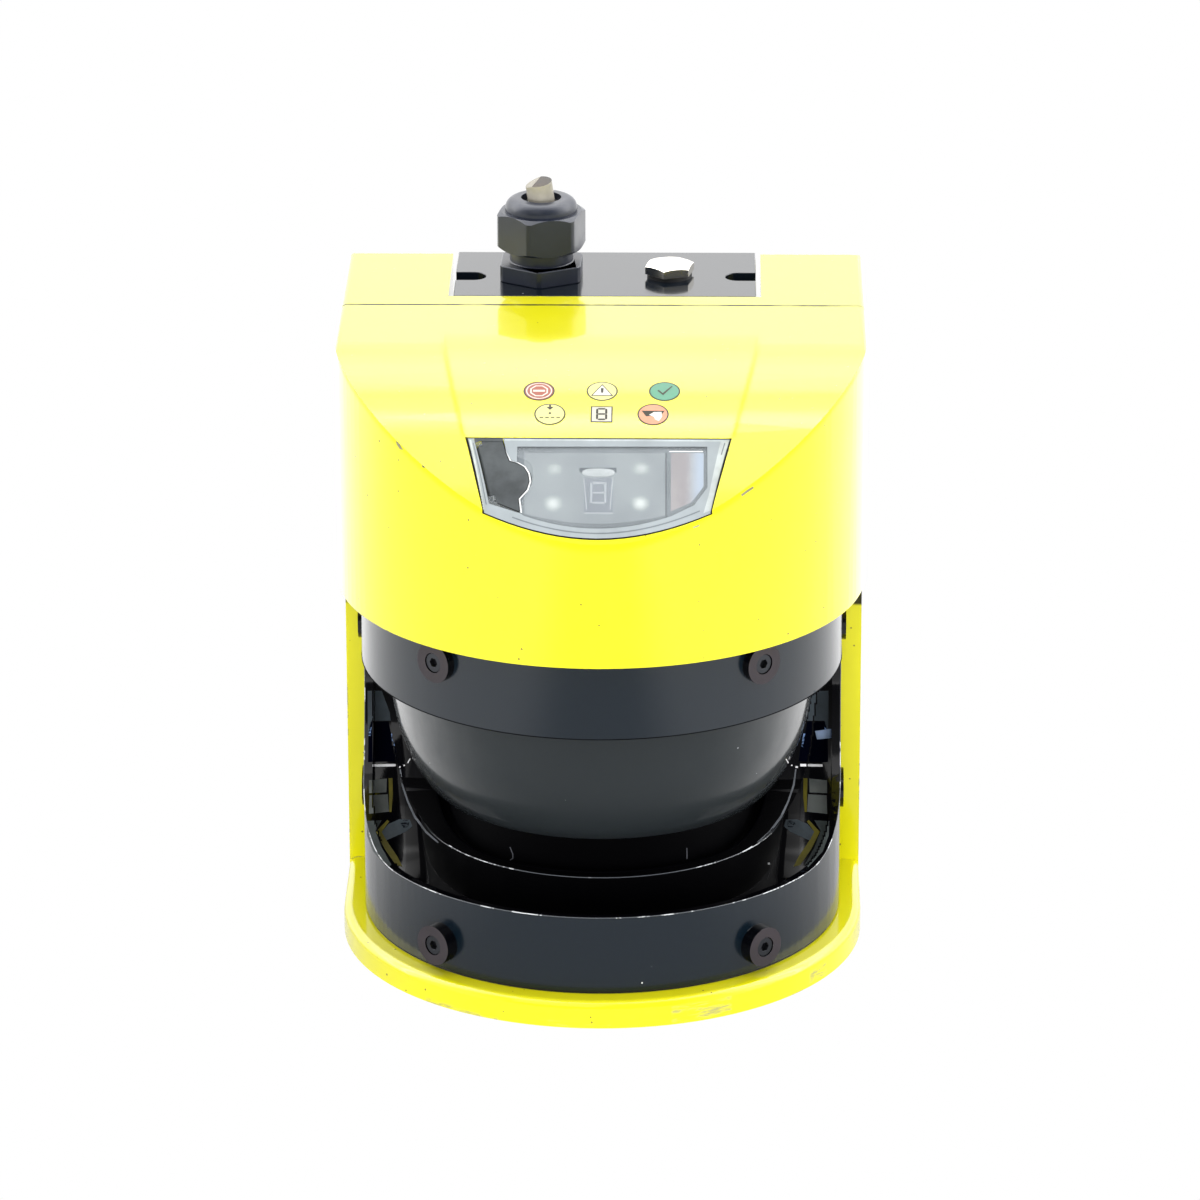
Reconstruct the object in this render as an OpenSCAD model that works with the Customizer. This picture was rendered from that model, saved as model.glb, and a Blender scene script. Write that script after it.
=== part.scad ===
// Safety laser scanner: cast housing with a rear block, sloping display hood, one-piece optics cover,
// plug-in connection block with a cable gland, and the rotating mirror inside.
// The base stands on z = 0, the front faces -Y, and the origin is the middle of the footprint.

/* [Housing] */
// Width across the sides
width = 155; // [152:0.5:160]
// Depth from the front of the base to the rear face
depth = 160; // [158:0.5:166]
// Height to the flat top
height = 185; // [183:0.5:192]
// Depth of the rear block
block_depth = 51.6; // [50.5:0.1:54]
// Thickness of the base plate
base_t = 8; // [7:0.25:9]
// Wall of the casting
casting_wall = 4; // [3:0.25:4.5]
// Rounding of the upper edge of the base plate
base_round = 2.5; // [1:0.25:4]
// Rounding of the rear corners of the block
corner_round = 3; // [1:0.25:5]
// Rounding of the top edges
top_round = 2; // [0.5:0.25:3]
// Width of the base ledge outside the optics cover
ledge = 6.5; // [6:0.25:8]

/* [Mounting holes] */
// Sideways spacing of the tapped holes in the rear face
mount_dx = 102; // [98:1:106]
// Upright spacing of the tapped holes
mount_dz = 80; // [70:1:82]
// Height of the lower tapped holes
mount_z = 24; // [20:0.5:28]
// Core diameter of the tapped holes
mount_bore = 5; // [4:0.1:6.5]
// Depth of the tapped holes
mount_deep = 8; // [6:0.5:9]

/* [Hood] */
// Height of the hood's lower edge
hood_bottom = 111.8; // [110:0.2:114]
// Side wall of the hood
hood_wall = 3; // [2.5:0.1:3.4]
// Thickness of the hood's top
hood_top_wall = 6.5; // [6:0.25:8]
// Drop of the sloping top at the front of the hood
slope_drop = 35.49; // [34.5:0.01:36.5]
// Distance from the hood's rear edge to the start of the slope
slope_back = 33.4; // [30:0.2:36]
// Depth of the recessed panel at its front edge
panel_sink = 0.22; // [0.15:0.01:0.4]
// Distance from the hood's rear edge to the start of the panel
panel_back = 26.4; // [25:0.2:28]
// Half width of the panel where it starts
panel_half = 46.2; // [45:0.2:48]
// Narrowing of each side of the panel towards the front
panel_narrow = 16.1; // [15:0.1:17]

/* [Optics cover] */
// Wall of the cover
cover_wall = 2.5; // [2:0.1:2.6]
// Thickness of the gasket under the cover
seal_t = 0.8; // [0.5:0.1:1.2]
// Height of the underside of the upper band
band_bottom = 87.5; // [86:0.25:89]
// Length of the cover's neck inside the hood
band_tuck = 4.2; // [3:0.2:5]
// Height of the outer rim in front
rim_top = 32; // [30:0.25:34]
// Height of the trough floor in front
trough_floor = 24; // [23:0.25:25]
// Height of the ridge round the window in front
ridge_top = 37.5; // [36.5:0.25:39]
// Depth of the groove behind the ridge
groove_deep = 2.5; // [1.5:0.25:3]
// Width of the ridge
ridge_w = 4; // [3:0.25:4.5]
// Height of the centre of the side arcs
arc_z = 82; // [80:0.5:84]
// Depth of the side posts between the rim and the block
post_depth = 18.4; // [17.5:0.2:19]
// Distance from the cover's inner wall to the neck under the window
neck_inset = 21.5; // [20.5:0.25:22.5]
// Distance from the cover's inner wall to the window's upper edge
window_inset = 4.3; // [3.9:0.1:5]
// Height of the window's lower edge
window_bottom = 48.4; // [47:0.2:50]
// Height at which the window starts to curve inwards
window_bow_z = 72; // [70:0.5:75]
// Slant of the straight part of the window, degrees
window_draft = 9.2; // [8:0.2:10]
// Distance from the cover's inner wall to the cheek's upper edge
cheek_inset = 2.6; // [2:0.1:2.9]
// Height at which the cheek starts to curve inwards
cheek_bow_z = 60; // [58:0.5:62]
// Slant of the straight part of the cheek, degrees
cheek_draft = 7.1; // [6:0.2:8]
// Radius of the inward curve of the window and the cheek
bow_r = 52; // [50:0.5:56]

/* [Cover screws] */
// Diameter of the screw bosses
boss_d = 12; // [11:0.25:12.5]
// Diameter of the screw heads
head_d = 5.6; // [5:0.1:6.5]
// Height of the screw heads
head_h = 3; // [2.5:0.1:3.2]
// Diameter of the screw shanks
shank_d = 3; // [2.5:0.1:3.5]
// Length of the screw shanks
shank_len = 8; // [7:0.25:9]
// Angle of the front bosses from the middle, degrees
boss_angle = 40.5; // [38:0.5:43]
// Height of the lower front screws
low_screw_z = 17; // [16:0.25:18]
// Height of the upper front screws
high_screw_z = 105; // [103.5:0.5:106]
// Height of the lower side screws
side_low_z = 38; // [37:0.25:39]
// Height of the upper side screws
side_high_z = 95; // [94:0.25:97]

/* [Display] */
// Thickness of the display window
glass_t = 3; // [2.6:0.1:3.2]
// Distance from the front of the hood to the top edge of the window
window_reach = 27.8; // [27:0.2:28.5]
// Half width of the window at its top edge
window_half = 37.6; // [36.5:0.1:38]
// Narrowing of each window side per millimetre towards the front
window_slant = 0.257; // [0.24:0.005:0.27]
// Thin lip of the hood in front of the window
front_lip = 1; // [0.8:0.1:1.4]
// Gap round the window
glass_gap = 0.25; // [0.15:0.05:0.4]
// Ledge that the window lies on
glass_ledge = 2.5; // [2:0.1:3]
// Depth of the display tray below the panel
tray_deep = 11; // [10:0.25:12]
// Depth of the tray's recess below the panel
recess_deep = 7; // [6.5:0.25:8]
// Thickness of the connector flap
flap_t = 2.6; // [2.2:0.1:2.8]
// Gap round the connector flap
flap_gap = 0.35; // [0.3:0.05:0.5]
// Diameter of the flap's hinge pin
flap_pin_d = 1.2; // [1:0.1:1.4]

/* [Connection block] */
// Width of the plug-in block
plug_w = 89.8; // [88:0.2:92]
// Sideways offset of the plug-in block
plug_x = 0.4; // [-1:0.2:1]
// Depth of the plug-in block from the rear face
plug_depth = 43; // [42:0.2:44]
// Height of the plug-in block
plug_h = 61; // [58:0.5:63]
// Wall of the plug-in block
plug_wall = 3; // [2.5:0.1:3.5]
// Gap at each end of the plug-in block
plug_end_gap = 1.5; // [1:0.1:2]
// Width of the end slots
slot_w = 7.6; // [7.2:0.1:8]
// Length of the end slots
slot_len = 9.1; // [8.5:0.1:10]
// Distance from the rear face to the middle of the slots
slot_back = 23.8; // [22.5:0.2:24.5]
// Depth of the floor under the plug-in block
pocket_drop = 6; // [5:0.25:7]

/* [Cable gland] */
// Sideways place of the gland
gland_x = -18.8; // [-21:0.2:-17]
// Size of the gland's hexagons across the flats
gland_af = 24; // [23:0.25:25]
// Diameter of the gland's thread
gland_thread = 19; // [18:0.2:19.6]
// Height of the lower hexagon
gland_hex_h = 5; // [4.5:0.25:6]
// Height of the nut's lower edge above the block
nut_z = 9.1; // [8.5:0.1:10]
// Height of the nut's hexagon
nut_h = 11.5; // [10.5:0.25:12.5]
// Height of the nut's rounded crown
crown_h = 3.9; // [3.2:0.1:4.2]
// Cable diameter
cable_d = 8; // [7:0.1:8.4]
// Length of the cable stub above the crown
stub_out = 6; // [5:0.25:8]
// Lean of the cable stub, degrees
stub_lean = 8; // [0:1:10]
// Sideways place of the blanking plug
blank_x = 19.5; // [18:0.25:22]
// Corner radius of the blanking plug's head
blank_r = 7.7; // [7.2:0.1:8.4]
// Height of the blanking plug's head
blank_h = 2.6; // [2.2:0.1:3.5]

/* [Mirror drive] */
// Height of the scan plane
scan_z = 63; // [62:0.25:64]
// Diameter of the motor can
motor_d = 42; // [40:0.5:44]
// Height of the motor can
motor_h = 29; // [28:0.25:30]
// Diameter of the shaft
shaft_d = 5; // [4:0.1:6]
// Running clearance of the shaft
shaft_gap = 0.05; // [0.03:0.01:0.08]
// Outer diameter of the bearings
bearing_d = 13; // [12:0.25:14]
// Width of the bearings
bearing_w = 5; // [4:0.25:5.5]
// Diameter of the encoder disc
encoder_d = 52; // [50:0.5:53]
// Diameter of the mirror
mirror_d = 33; // [31:0.5:34]
// Thickness of the mirror
mirror_t = 2; // [1.5:0.1:2.5]
// Diameter of the receiver lens
lens_d = 40; // [38:0.5:41]
// Diameter of the laser tube
laser_d = 10; // [9:0.25:11]

/* [Hidden] */
$fn = 96;

play = 0.3;          // clearance between neighbouring mouldings
fit = 0.02;          // clearance of a seated round part
cut = 1;             // how far a cutter reaches past a face
far = 300;           // larger than the whole scanner

// Outline shared by the base, the hood and the cover
front_r = width / 2;
axis_y = front_r - depth / 2;
rear_y = depth / 2;
block_y = rear_y - block_depth;
flange_t = casting_wall;
flange_rim = 12;     // height of the block's front flange above its opening
mount_boss_d = 14;   // boss round each tapped hole
mount_boss_end = 3;  // solid end of the boss behind the hole

// Optics cover
cover_r = front_r - ledge;
inner_r = cover_r - cover_wall;
neck_r = inner_r - neck_inset;
window_r = inner_r - window_inset;
cheek_r = inner_r - cheek_inset;
cover_low = base_t + seal_t;
cover_high = hood_bottom + band_tuck;
seal_inset = 0.4;    // gasket inside the cover's outer face
head_sunk = 0.3;     // screw heads below the bosses' faces
socket_deep = 1.6;   // hexagon sockets of the screws
socket_size = 0.52;  // of the head's diameter
rim_arc = arc_z - rim_top;
trough_arc = arc_z - trough_floor;
ridge_arc = arc_z - ridge_top;
groove_arc = ridge_arc + groove_deep;
arc_y = block_y - post_depth - rim_arc;
window_foot = 2.2;   // rounding of the window's lower edge
boss_len = 6;        // length of the screw bosses into the cover
low_proud = 3.8;     // how far the bosses stand out of the cover
high_proud = 2.4;
side_proud = 1.3;
head_gap = 0.4;      // clearance round the screw heads
shank_gap = 0.3;     // clearance round the shanks in the cover
core_gap = 0.1;      // clearance of a shank in its core hole
core_end = 0.5;
lug_half = 5;        // half width of the side lugs
front_lug_half = 6;
lug_deep = 8;        // depth of the hood's lugs from the cover's wall
base_lug_deep = 9;

// Hood
slope_y = block_y - slope_back;
slope_run = slope_y + rear_y;
slope_r = (pow(slope_run, 2) + pow(slope_drop, 2)) / (2 * slope_drop);
panel_y = block_y - panel_back;
panel_run = panel_y + rear_y;
panel_drop = slope_drop + panel_sink;
panel_r = (pow(panel_run, 2) + pow(panel_drop, 2)) / (2 * panel_drop);
panel_wide = 10;     // behind the panel's start, where its sides would be parallel
panel_past = 4;      // how far the panel's cutter reaches past the front
deck_t = 3;          // deck that carries the receiver
deck_inset = 10.5;   // width of the hood's inner flange
deck_r = inner_r - deck_inset;
deck_lap = 5;        // how far the deck reaches under the flange
deck_screw_in = 2.5; // deck screws from the flange's inner edge
deck_screw_back = 10;
deck_screw_angle = 20;
deck_screw_d = 2.5;
deck_head = [4.6, 2];
side_low_back = 15.4; // side screws in front of the block
side_high_back = 23.4;
side_screw_y = block_y - side_low_back;
side_high_y = block_y - side_high_back;
hood_screw_low = 11; // above the hood's lower edge
hood_screw_high = 13; // below the flat top
hood_screw_in = 8.5; // from the sides
hood_screw_d = 4;
hood_head = [7, 4];
screw_z_hood = [hood_bottom + hood_screw_low, height - hood_screw_high];
screw_x_hood = front_r - hood_screw_in;
hood_boss_d = 13;
hood_boss_len = 12;
flange_edge = 5;     // block's flange inside its screws
flange_open = screw_x_hood - flange_edge;
hole_gap = 0.4;      // clearance of the hood screws in the flange

// Display
window_y = -rear_y + window_reach;
window_past = 6;     // how far the window's cutter reaches past the front
glass_sink = 0.15;   // window surface below the panel
hinge_sink = 1.1;    // hinge axis below the panel
hinge_a = [-33.6, window_y - 0.6];
hinge_b = [-29, window_y - 17.6];
hinge_r = 1.4;       // rounded edge of the flap along its hinge
ear_len = 1.6;       // lengths of the window that hold the flap's pins
ear_wall = 0.2;
ear_gap = 0.2;
ear_r = hinge_r + flap_gap + ear_wall;
pin_inset = 0.7;     // from the ends of the hinge line to the ends of the pins
flap_mid = window_y - 9.8;
flap_reach = 10;     // of the flap's cutters above and below the panel
flap_swing = [0, 2, 1.5]; // room for the flap's upper corner as it opens
flap_lift = [0, -0.5, 0.7]; // room for the flap's rounded edge as it stands up
flap_edge = 0.5;     // flap's upper edge in front of the window's
flap_bulge = [-23.3, window_y - 11.8];
flap_bulge_r = 4.6;
flap_points = [hinge_a, [-27.2, window_y - 0.6], [-24.9, window_y - 6.7], [-22.4, window_y - 12],
    [-22.2, window_y - 17], [-21.6, window_y - 20], hinge_b];
led_r = 1.5;
led_base = 2.2;      // straight part of a lamp's lens
led_h = 3.5;
led_x = 12.3;
led_drops = [9, 18.3];
piece_dip = 1;       // how far the display pieces reach below the tray's recess
lamp_reach = 3;      // half the distance between the ends of the oval light piece
lamp_h = 4;
lamp_drop = 10.3;    // distances down the panel from the window's top edge
digit_drop = 15.6;
digit_w = 10;
digit_len = 9.4;
digit_back = 3.4;
display_x = 0.4;     // middle of the display
connector_place = [-27.5, 10.5];
connector_d = 9;
connector_foot_d = 12;
connector_bore = 6.6;
connector_deep = 15; // connector's foot below the panel
connector_len = 11;
recess_left = -20.2;
recess_right = 30.7;
recess_back = 3.2;   // recess in front of the window's top edge
recess_bend = 12.1;  // where its right side starts to slant in to the divider
recess_slant = 20.3; // and where it ends
recess_front_left = -17;
recess_edge = 3.9;   // rim of the recess behind the hood's front
divider_x = 19.2;
divider_t = 1.2;
divider_low = 0.6;   // divider below the window
tray_skin = 0.05;    // clearance of the tray under the window
tray_rim = 1.5;      // how far the tray's flange reaches past the window
tray_flange_t = 1.7;
tray_post_x = 16;
tray_post_r = 2;
board_down = 14;     // display board below the panel
board_drops = [7, 19];
display_board_w = 42;
display_board_len = 22;

// Connection block
plug_left = plug_x - plug_w / 2;
plug_right = plug_x + plug_w / 2;
plug_front = rear_y - plug_depth;
plug_low = height - plug_h;
pocket_z = plug_low - pocket_drop;
slot_y = rear_y - slot_back;
slot_foot = 6;       // bottom of the end slots above the block's underside
slot_z = plug_low + slot_foot;
gland_back = 0.8;    // gland's middle behind the slots'
gland_y = slot_y + gland_back;
tub_wall = 3;
screw_sides = [plug_left + slot_len - slot_w / 2, plug_right - slot_len + slot_w / 2];
crown_z = height + nut_z + nut_h + crown_h;
cut_slant = 14;
socket_gap = 0.2;
conn_w = 36;         // plug-in connector
conn_d = 16;
conn_back = 1.8;     // connector's middle behind the slots'
conn_y = slot_y + conn_back;
conn_dip = 2;        // how far the connector reaches below the pocket's floor
socket_wall = 4;
socket_flange = 8;
socket_flange_t = 3;
post_d = 10;         // posts for the block's screws
gland_dip = 9;       // thread below the block's top
gland_wall = 2;      // wall of the gland's bore round the seal
locknut_h = 4;
body_turn = 28;      // turns of the hexagons, degrees
nut_turn = 15;
locknut_turn = 10;
blank_turn = 18;
corner_turn = 1.115;  // turned corners of the hexagons, times their size across the flats
crown_r = 10.75;
crown_edge = 3.2;
nut_chamfer = 1.3;
blank_thread = 11.9;
blank_dip = 8;
blank_seal_t = 1.2;
blank_seal_w = 1.5;  // gasket past the thread
slot_wall = 2.5;
plug_base_t = 3;
press_gap = 0.05;
plug_head = [6, 3.5];

// Mirror drive
plate_t = 3;
plate_lap = 8;       // motor plate past the motor
plate_hole = 8;
motor_z = base_t + plate_t;
can_wall = 3;
end_wall = 7;
bearing_in = 2;      // bearings from the ends of the motor
bearing_lip = 2;     // shoulder behind the bearings
motor_top = motor_z + motor_h;
shaft_end = 8;       // shaft above the hub's foot
hub_d = 14;
hub_h = 6;
stator_bore = 21.1;
magnet_d = 19.8;
magnet_gap = 1;
disc_z = motor_top + 3;
fork_w = 10;
fork_h = 7;
fork_in = 2.5;       // fork over the motor's rim
fork_out = 5;        // and past the disc
fork_slot = [2.5, 4.5];
mirror_edge = 0.2;   // carrier past the mirror
disc_t = 1;
hub_z = disc_z + disc_t;
lens_up = 23;        // lens above the scan plane
lens_z = scan_z + lens_up;
lens_h = 6;
lens_edge = 1.5;     // shoulder under the lens
lens_bulge_r = 40;
tube_wall = 3;
receiver_up = 20;    // receiver board and the tube's cross bar above the lens's lower face
receiver_z = lens_z + receiver_up;
bar_up = 12;
bar_z = lens_z + bar_up;
bar_w = 8;
bar_h = 3;
laser_len = 20;
laser_bore = 4;
deck_z = cover_high + play - deck_t;
board_back = 20;     // main board from the rear face, the sides, the base and the pocket
board_side = 19.5;
board_foot = 10;
board_head = 8;
board_y = rear_y - board_back;
board_t = 1.6;
board_half = front_r - board_side;
board_low = base_t + board_foot;
board_high = pocket_z - board_head;
// Sideways place, height above the board's edge, size and thickness of the larger parts
big_parts = [[-40, 12, 22, 3], [-8, 16, 20, 3], [26, 12, 16, 2.5],
    [-38, 52, 14, 8], [-12, 56, 14, 8], [20, 48, 26, 5]];
board_post_x = 30;
board_post_in = 13;
board_post_d = 6;
sensor_w = 5.2;
sensor_end = min(axis_y, side_high_y - lug_half - play);

yellow = [0.95, 0.85, 0.1];
black = [0.09, 0.09, 0.1];
steel = [0.72, 0.72, 0.74];
dark_steel = [0.16, 0.16, 0.17];
board_green = [0.1, 0.38, 0.2];

function arc(cx, cy, r, from, to, n = 6) =
    [for (i = [0:n]) let (a = from + (to - from) * i / n) [cx + r * cos(a), cy + r * sin(a)]];
// Straight slant from the upper edge, then an inward curve, from the lower end to the upper one
function bowl(top_r, draft, bow_z, low_z, n = 8) =
    let (start_r = top_r - (band_bottom - bow_z) * tan(draft),
         mid_r = start_r - bow_r * cos(draft),
         mid_z = bow_z + bow_r * sin(draft),
         end_a = asin((mid_z - low_z) / bow_r))
    concat([for (i = [n:-1:0]) let (a = draft + (end_a - draft) * i / n)
                [mid_r + bow_r * cos(a), mid_z - bow_r * sin(a)]],
           [[top_r, band_bottom]]);
function shift(points, dr) = [for (p = points) [p[0] + dr, p[1]]];
function window_side(dr = 0) =
    let (curve = bowl(window_r, window_draft, window_bow_z, window_bottom + window_foot))
    concat([[neck_r + dr, 0], [neck_r + dr, window_bottom], [curve[0][0] - window_foot + dr, window_bottom]],
           shift(curve, dr));
cheek_curve = bowl(cheek_r, cheek_draft, cheek_bow_z, ridge_top);
ring_r = cheek_curve[0][0];
function cheek_side(dr = 0) = concat([[ring_r + dr, 0]], shift(cheek_curve, dr));
function panel_width(y) =
    panel_half - panel_narrow * pow((panel_y + panel_wide - y) / (panel_run + panel_wide), 2);
function panel_angle(y) = asin((panel_y - y) / panel_r);
function panel_point(x, y, down) =
    let (a = panel_angle(y))
    [x, panel_y - (panel_r - down) * sin(a), height - panel_r + (panel_r - down) * cos(a)];

function flap_up(y) = panel_r * sin(panel_angle(flap_mid) - panel_angle(y));

// Profile in radius and height, swept round the front and straight back to the block
module u_sweep(y_end = block_y) {
    translate([0, axis_y, 0]) {
        rotate([0, 0, 180]) rotate_extrude(angle = 180) children();
        for (side = [0, 1]) mirror([side, 0, 0])
            translate([0, y_end - axis_y, 0]) rotate([90, 0, 0])
                linear_extrude(height = y_end - axis_y) children();
    }
}

module u_block(r, z0, z1) {
    u_sweep() translate([0, z0]) square([r, z1 - z0]);
}

// Profile in depth and height, drawn out across the scanner
module across(x0 = -far / 2, x1 = far / 2) {
    translate([x0, 0, 0]) rotate([90, 0, 90]) linear_extrude(height = x1 - x0) children();
}

module rod_across(r, y, z) {
    translate([-far / 2, y, z]) rotate([0, 90, 0]) cylinder(r = r, h = far, $fn = 360);
}

// Everything in front of and above a side arc, up to the upper band
module side_cut(r) {
    rod_across(r, arc_y, arc_z);
    translate([-far / 2, -far, arc_z - r]) cube([far, far + arc_y, far]);
    translate([-far / 2, -far, arc_z]) cube([far, far + arc_y + r, far]);
}

// Local Z points outwards through the cover, at a distance from the front arc's axis
module radial(angle, z) {
    translate([0, axis_y, z]) rotate([0, 0, angle]) rotate([90, 0, 0]) children();
}

module sideways(side, y, z) {
    translate([0, y, z]) rotate([0, 90 * side, 0]) children();
}

// Children at each of the eight cover screws, with local Z outwards
module at_cover_screws() {
    for (side = [-1, 1]) {
        radial(side * boss_angle, low_screw_z) boss_at(low_proud) children();
        radial(side * boss_angle, high_screw_z) boss_at(high_proud) children();
        sideways(side, side_screw_y, side_low_z) boss_at(side_proud) children();
        sideways(side, side_high_y, side_high_z) boss_at(side_proud) children();
    }
}

module boss_at(proud) {
    translate([0, 0, cover_r + proud]) children();
}

// Local Z points out of the panel, at a place down the slope from the window's top edge
module on_panel(x, drop, down = 0) {
    a = panel_angle(window_y - drop);
    translate([x, panel_y, height - panel_r]) rotate([a, 0, 0]) translate([0, 0, panel_r - down])
        children();
}

module block_shape() {
    intersection() {
        linear_extrude(height = height) polygon(concat(
            [[-front_r, block_y], [front_r, block_y]],
            arc(front_r - corner_round, rear_y - corner_round, corner_round, 0, 90),
            arc(corner_round - front_r, rear_y - corner_round, corner_round, 90, 180)));
        across() polygon(concat([[block_y, 0], [rear_y, 0]],
            arc(rear_y - top_round, height - top_round, top_round, 0, 90), [[block_y, height]]));
        top_edges(block_y - cut, rear_y + cut);
    }
}

// Upright outline with rounded top edges, between two depths
module top_edges(y0, y1) {
    translate([0, y1, 0]) rotate([90, 0, 0]) linear_extrude(height = y1 - y0) polygon(concat(
        [[-front_r, 0], [front_r, 0]],
        arc(front_r - top_round, height - top_round, top_round, 0, 90),
        arc(top_round - front_r, height - top_round, top_round, 90, 180)));
}

module box(low, high) {
    translate(low) cube(high - low);
}

module housing() color(yellow) {
    difference() {
        union() {
            u_sweep(block_y + cut) polygon(concat([[0, 0], [front_r, 0]],
                arc(front_r - base_round, base_t - base_round, base_round, 0, 90), [[0, base_t]]));
            difference() {
                block_shape();
                block_space();
                plug_pocket();
            }
            for (x = screw_sides)
                translate([x, slot_y, pocket_z - tub_wall]) cylinder(d = post_d, h = tub_wall + pocket_drop);
            base_lugs();
        }
        at_mount_holes() translate([0, 0, -cut]) cylinder(d = mount_bore, h = mount_deep + cut);
        for (x = screw_sides)
            translate([x, slot_y, pocket_z - tub_wall - cut]) cylinder(d = shank_d + core_gap, h = far);
        for (x = [-screw_x_hood, screw_x_hood], z = screw_z_hood)
            translate([x, block_y - cut, z]) rotate([-90, 0, 0])
                cylinder(d = hood_screw_d + hole_gap, h = flange_t + 2 * cut);
        for (side = [-1, 1]) {
            radial(side * boss_angle, low_screw_z) boss_at(low_proud) screw_core();
            sideways(side, side_screw_y, side_low_z) boss_at(side_proud) screw_core();
        }
    }
}

// Children at the four tapped holes of the rear face, with local Z into the block
module at_mount_holes() {
    for (x = [-mount_dx / 2, mount_dx / 2], z = [mount_z, mount_z + mount_dz])
        translate([x, rear_y, z]) rotate([90, 0, 0]) children();
}

// Hollow of the rear block, with its front opening, round the tub and the bosses
module block_space() {
    difference() {
        union() {
            box([casting_wall - front_r, block_y + flange_t, base_t],
                [front_r - casting_wall, rear_y - casting_wall, height - casting_wall]);
            box([-flange_open, block_y - cut, base_t],
                [flange_open, block_y + flange_t + cut, height - flange_rim]);
        }
        box([plug_left - plug_end_gap - tub_wall, plug_front - play - tub_wall, pocket_z - tub_wall],
            [plug_right + plug_end_gap + tub_wall, rear_y, height]);
        at_mount_holes() cylinder(d = mount_boss_d, h = mount_deep + mount_boss_end);
        for (x = [-board_post_x, board_post_x], z = [board_low + board_post_in, board_high - board_post_in])
            translate([x, rear_y - casting_wall / 2, z]) rotate([90, 0, 0])
                cylinder(d = board_post_d, h = rear_y - casting_wall / 2 - board_y - board_t);
    }
}

// Pocket for the plug-in block, with a hole for the socket in its floor
module plug_pocket() {
    box([plug_left - plug_end_gap, plug_front - play, pocket_z],
        [plug_right + plug_end_gap, rear_y - casting_wall, height + cut]);
    box([plug_left - plug_end_gap, rear_y - casting_wall - cut, plug_low - play],
        [plug_right + plug_end_gap, rear_y + cut, height + cut]);
    conn_box(socket_wall + socket_gap, pocket_z - tub_wall - cut, pocket_z + cut);
}

// Outline of the plug-in connector, grown by a margin, between two heights
module conn_box(margin, z0, z1) {
    box([plug_x - conn_w / 2 - margin, conn_y - conn_d / 2 - margin, z0],
        [plug_x + conn_w / 2 + margin, conn_y + conn_d / 2 + margin, z1]);
}

// Lugs on the base for the cover's lower screws
module base_lugs() {
    lug_r = inner_r - play;
    in = lug_r - base_lug_deep;
    for (side = [-1, 1]) {
        translate([0, axis_y, 0]) rotate([0, 0, side * boss_angle])
            box([-front_lug_half, -lug_r, base_t / 2],
                [front_lug_half, -in, trough_floor - cover_wall - play]);
        box([side > 0 ? in : -lug_r, side_screw_y - lug_half, base_t / 2],
            [side > 0 ? lug_r : -in, side_screw_y + front_lug_half, side_low_z + front_lug_half]);
    }
}

// Core hole for a cover screw, which starts at the cover's inner wall
module screw_core() {
    translate([0, 0, -head_h - shank_len - core_end])
        cylinder(d = shank_d + core_gap, h = shank_len + core_end);
}

// What lies under the hood's sloping top
module under_slope(down = 0) {
    rod_across(slope_r - down, slope_y, height - slope_r);
    translate([-far / 2, slope_y, 0]) cube([far, far, height - down]);
    translate([-far / 2, slope_y - far, 0]) cube([far, far, height - slope_r]);
}

module panel_plan() {
    ys = [for (i = [0:8]) panel_y - (panel_run + panel_past) * i / 8];
    polygon(concat([for (y = ys) [panel_width(y), y]],
        [for (i = [8:-1:0]) [-panel_width(ys[i]), ys[i]]]));
}

// Outline of the display window, drawn in by a margin
module window_plan(margin = 0) {
    reach = window_reach + window_past;
    top = window_half - margin;
    linear_extrude(height = far) polygon([[-top, window_y - margin], [top, window_y - margin],
        [top - window_slant * reach, window_y - reach], [window_slant * reach - top, window_y - reach]]);
}

module front_barrel(r) {
    translate([0, axis_y, 0]) cylinder(r = r, h = far);
}

module panel_rod(down) {
    rod_across(panel_r - down, panel_y, height - panel_r);
}

// Lugs for the cover's upper screws
module hood_lugs(gap = 0) {
    lug_r = inner_r - play + gap;
    in = lug_r - lug_deep - 2 * gap;
    top = cover_high + play + deck_t;
    for (side = [-1, 1]) {
        translate([0, axis_y, 0]) rotate([0, 0, side * boss_angle])
            box([-front_lug_half - gap, -lug_r, high_screw_z - lug_half - gap],
                [front_lug_half + gap, -in, top]);
        box([side > 0 ? in : -lug_r, side_high_y - lug_half - gap, band_bottom + cover_wall + play],
            [side > 0 ? lug_r : -in, side_high_y + lug_half + gap, top]);
    }
}

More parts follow.
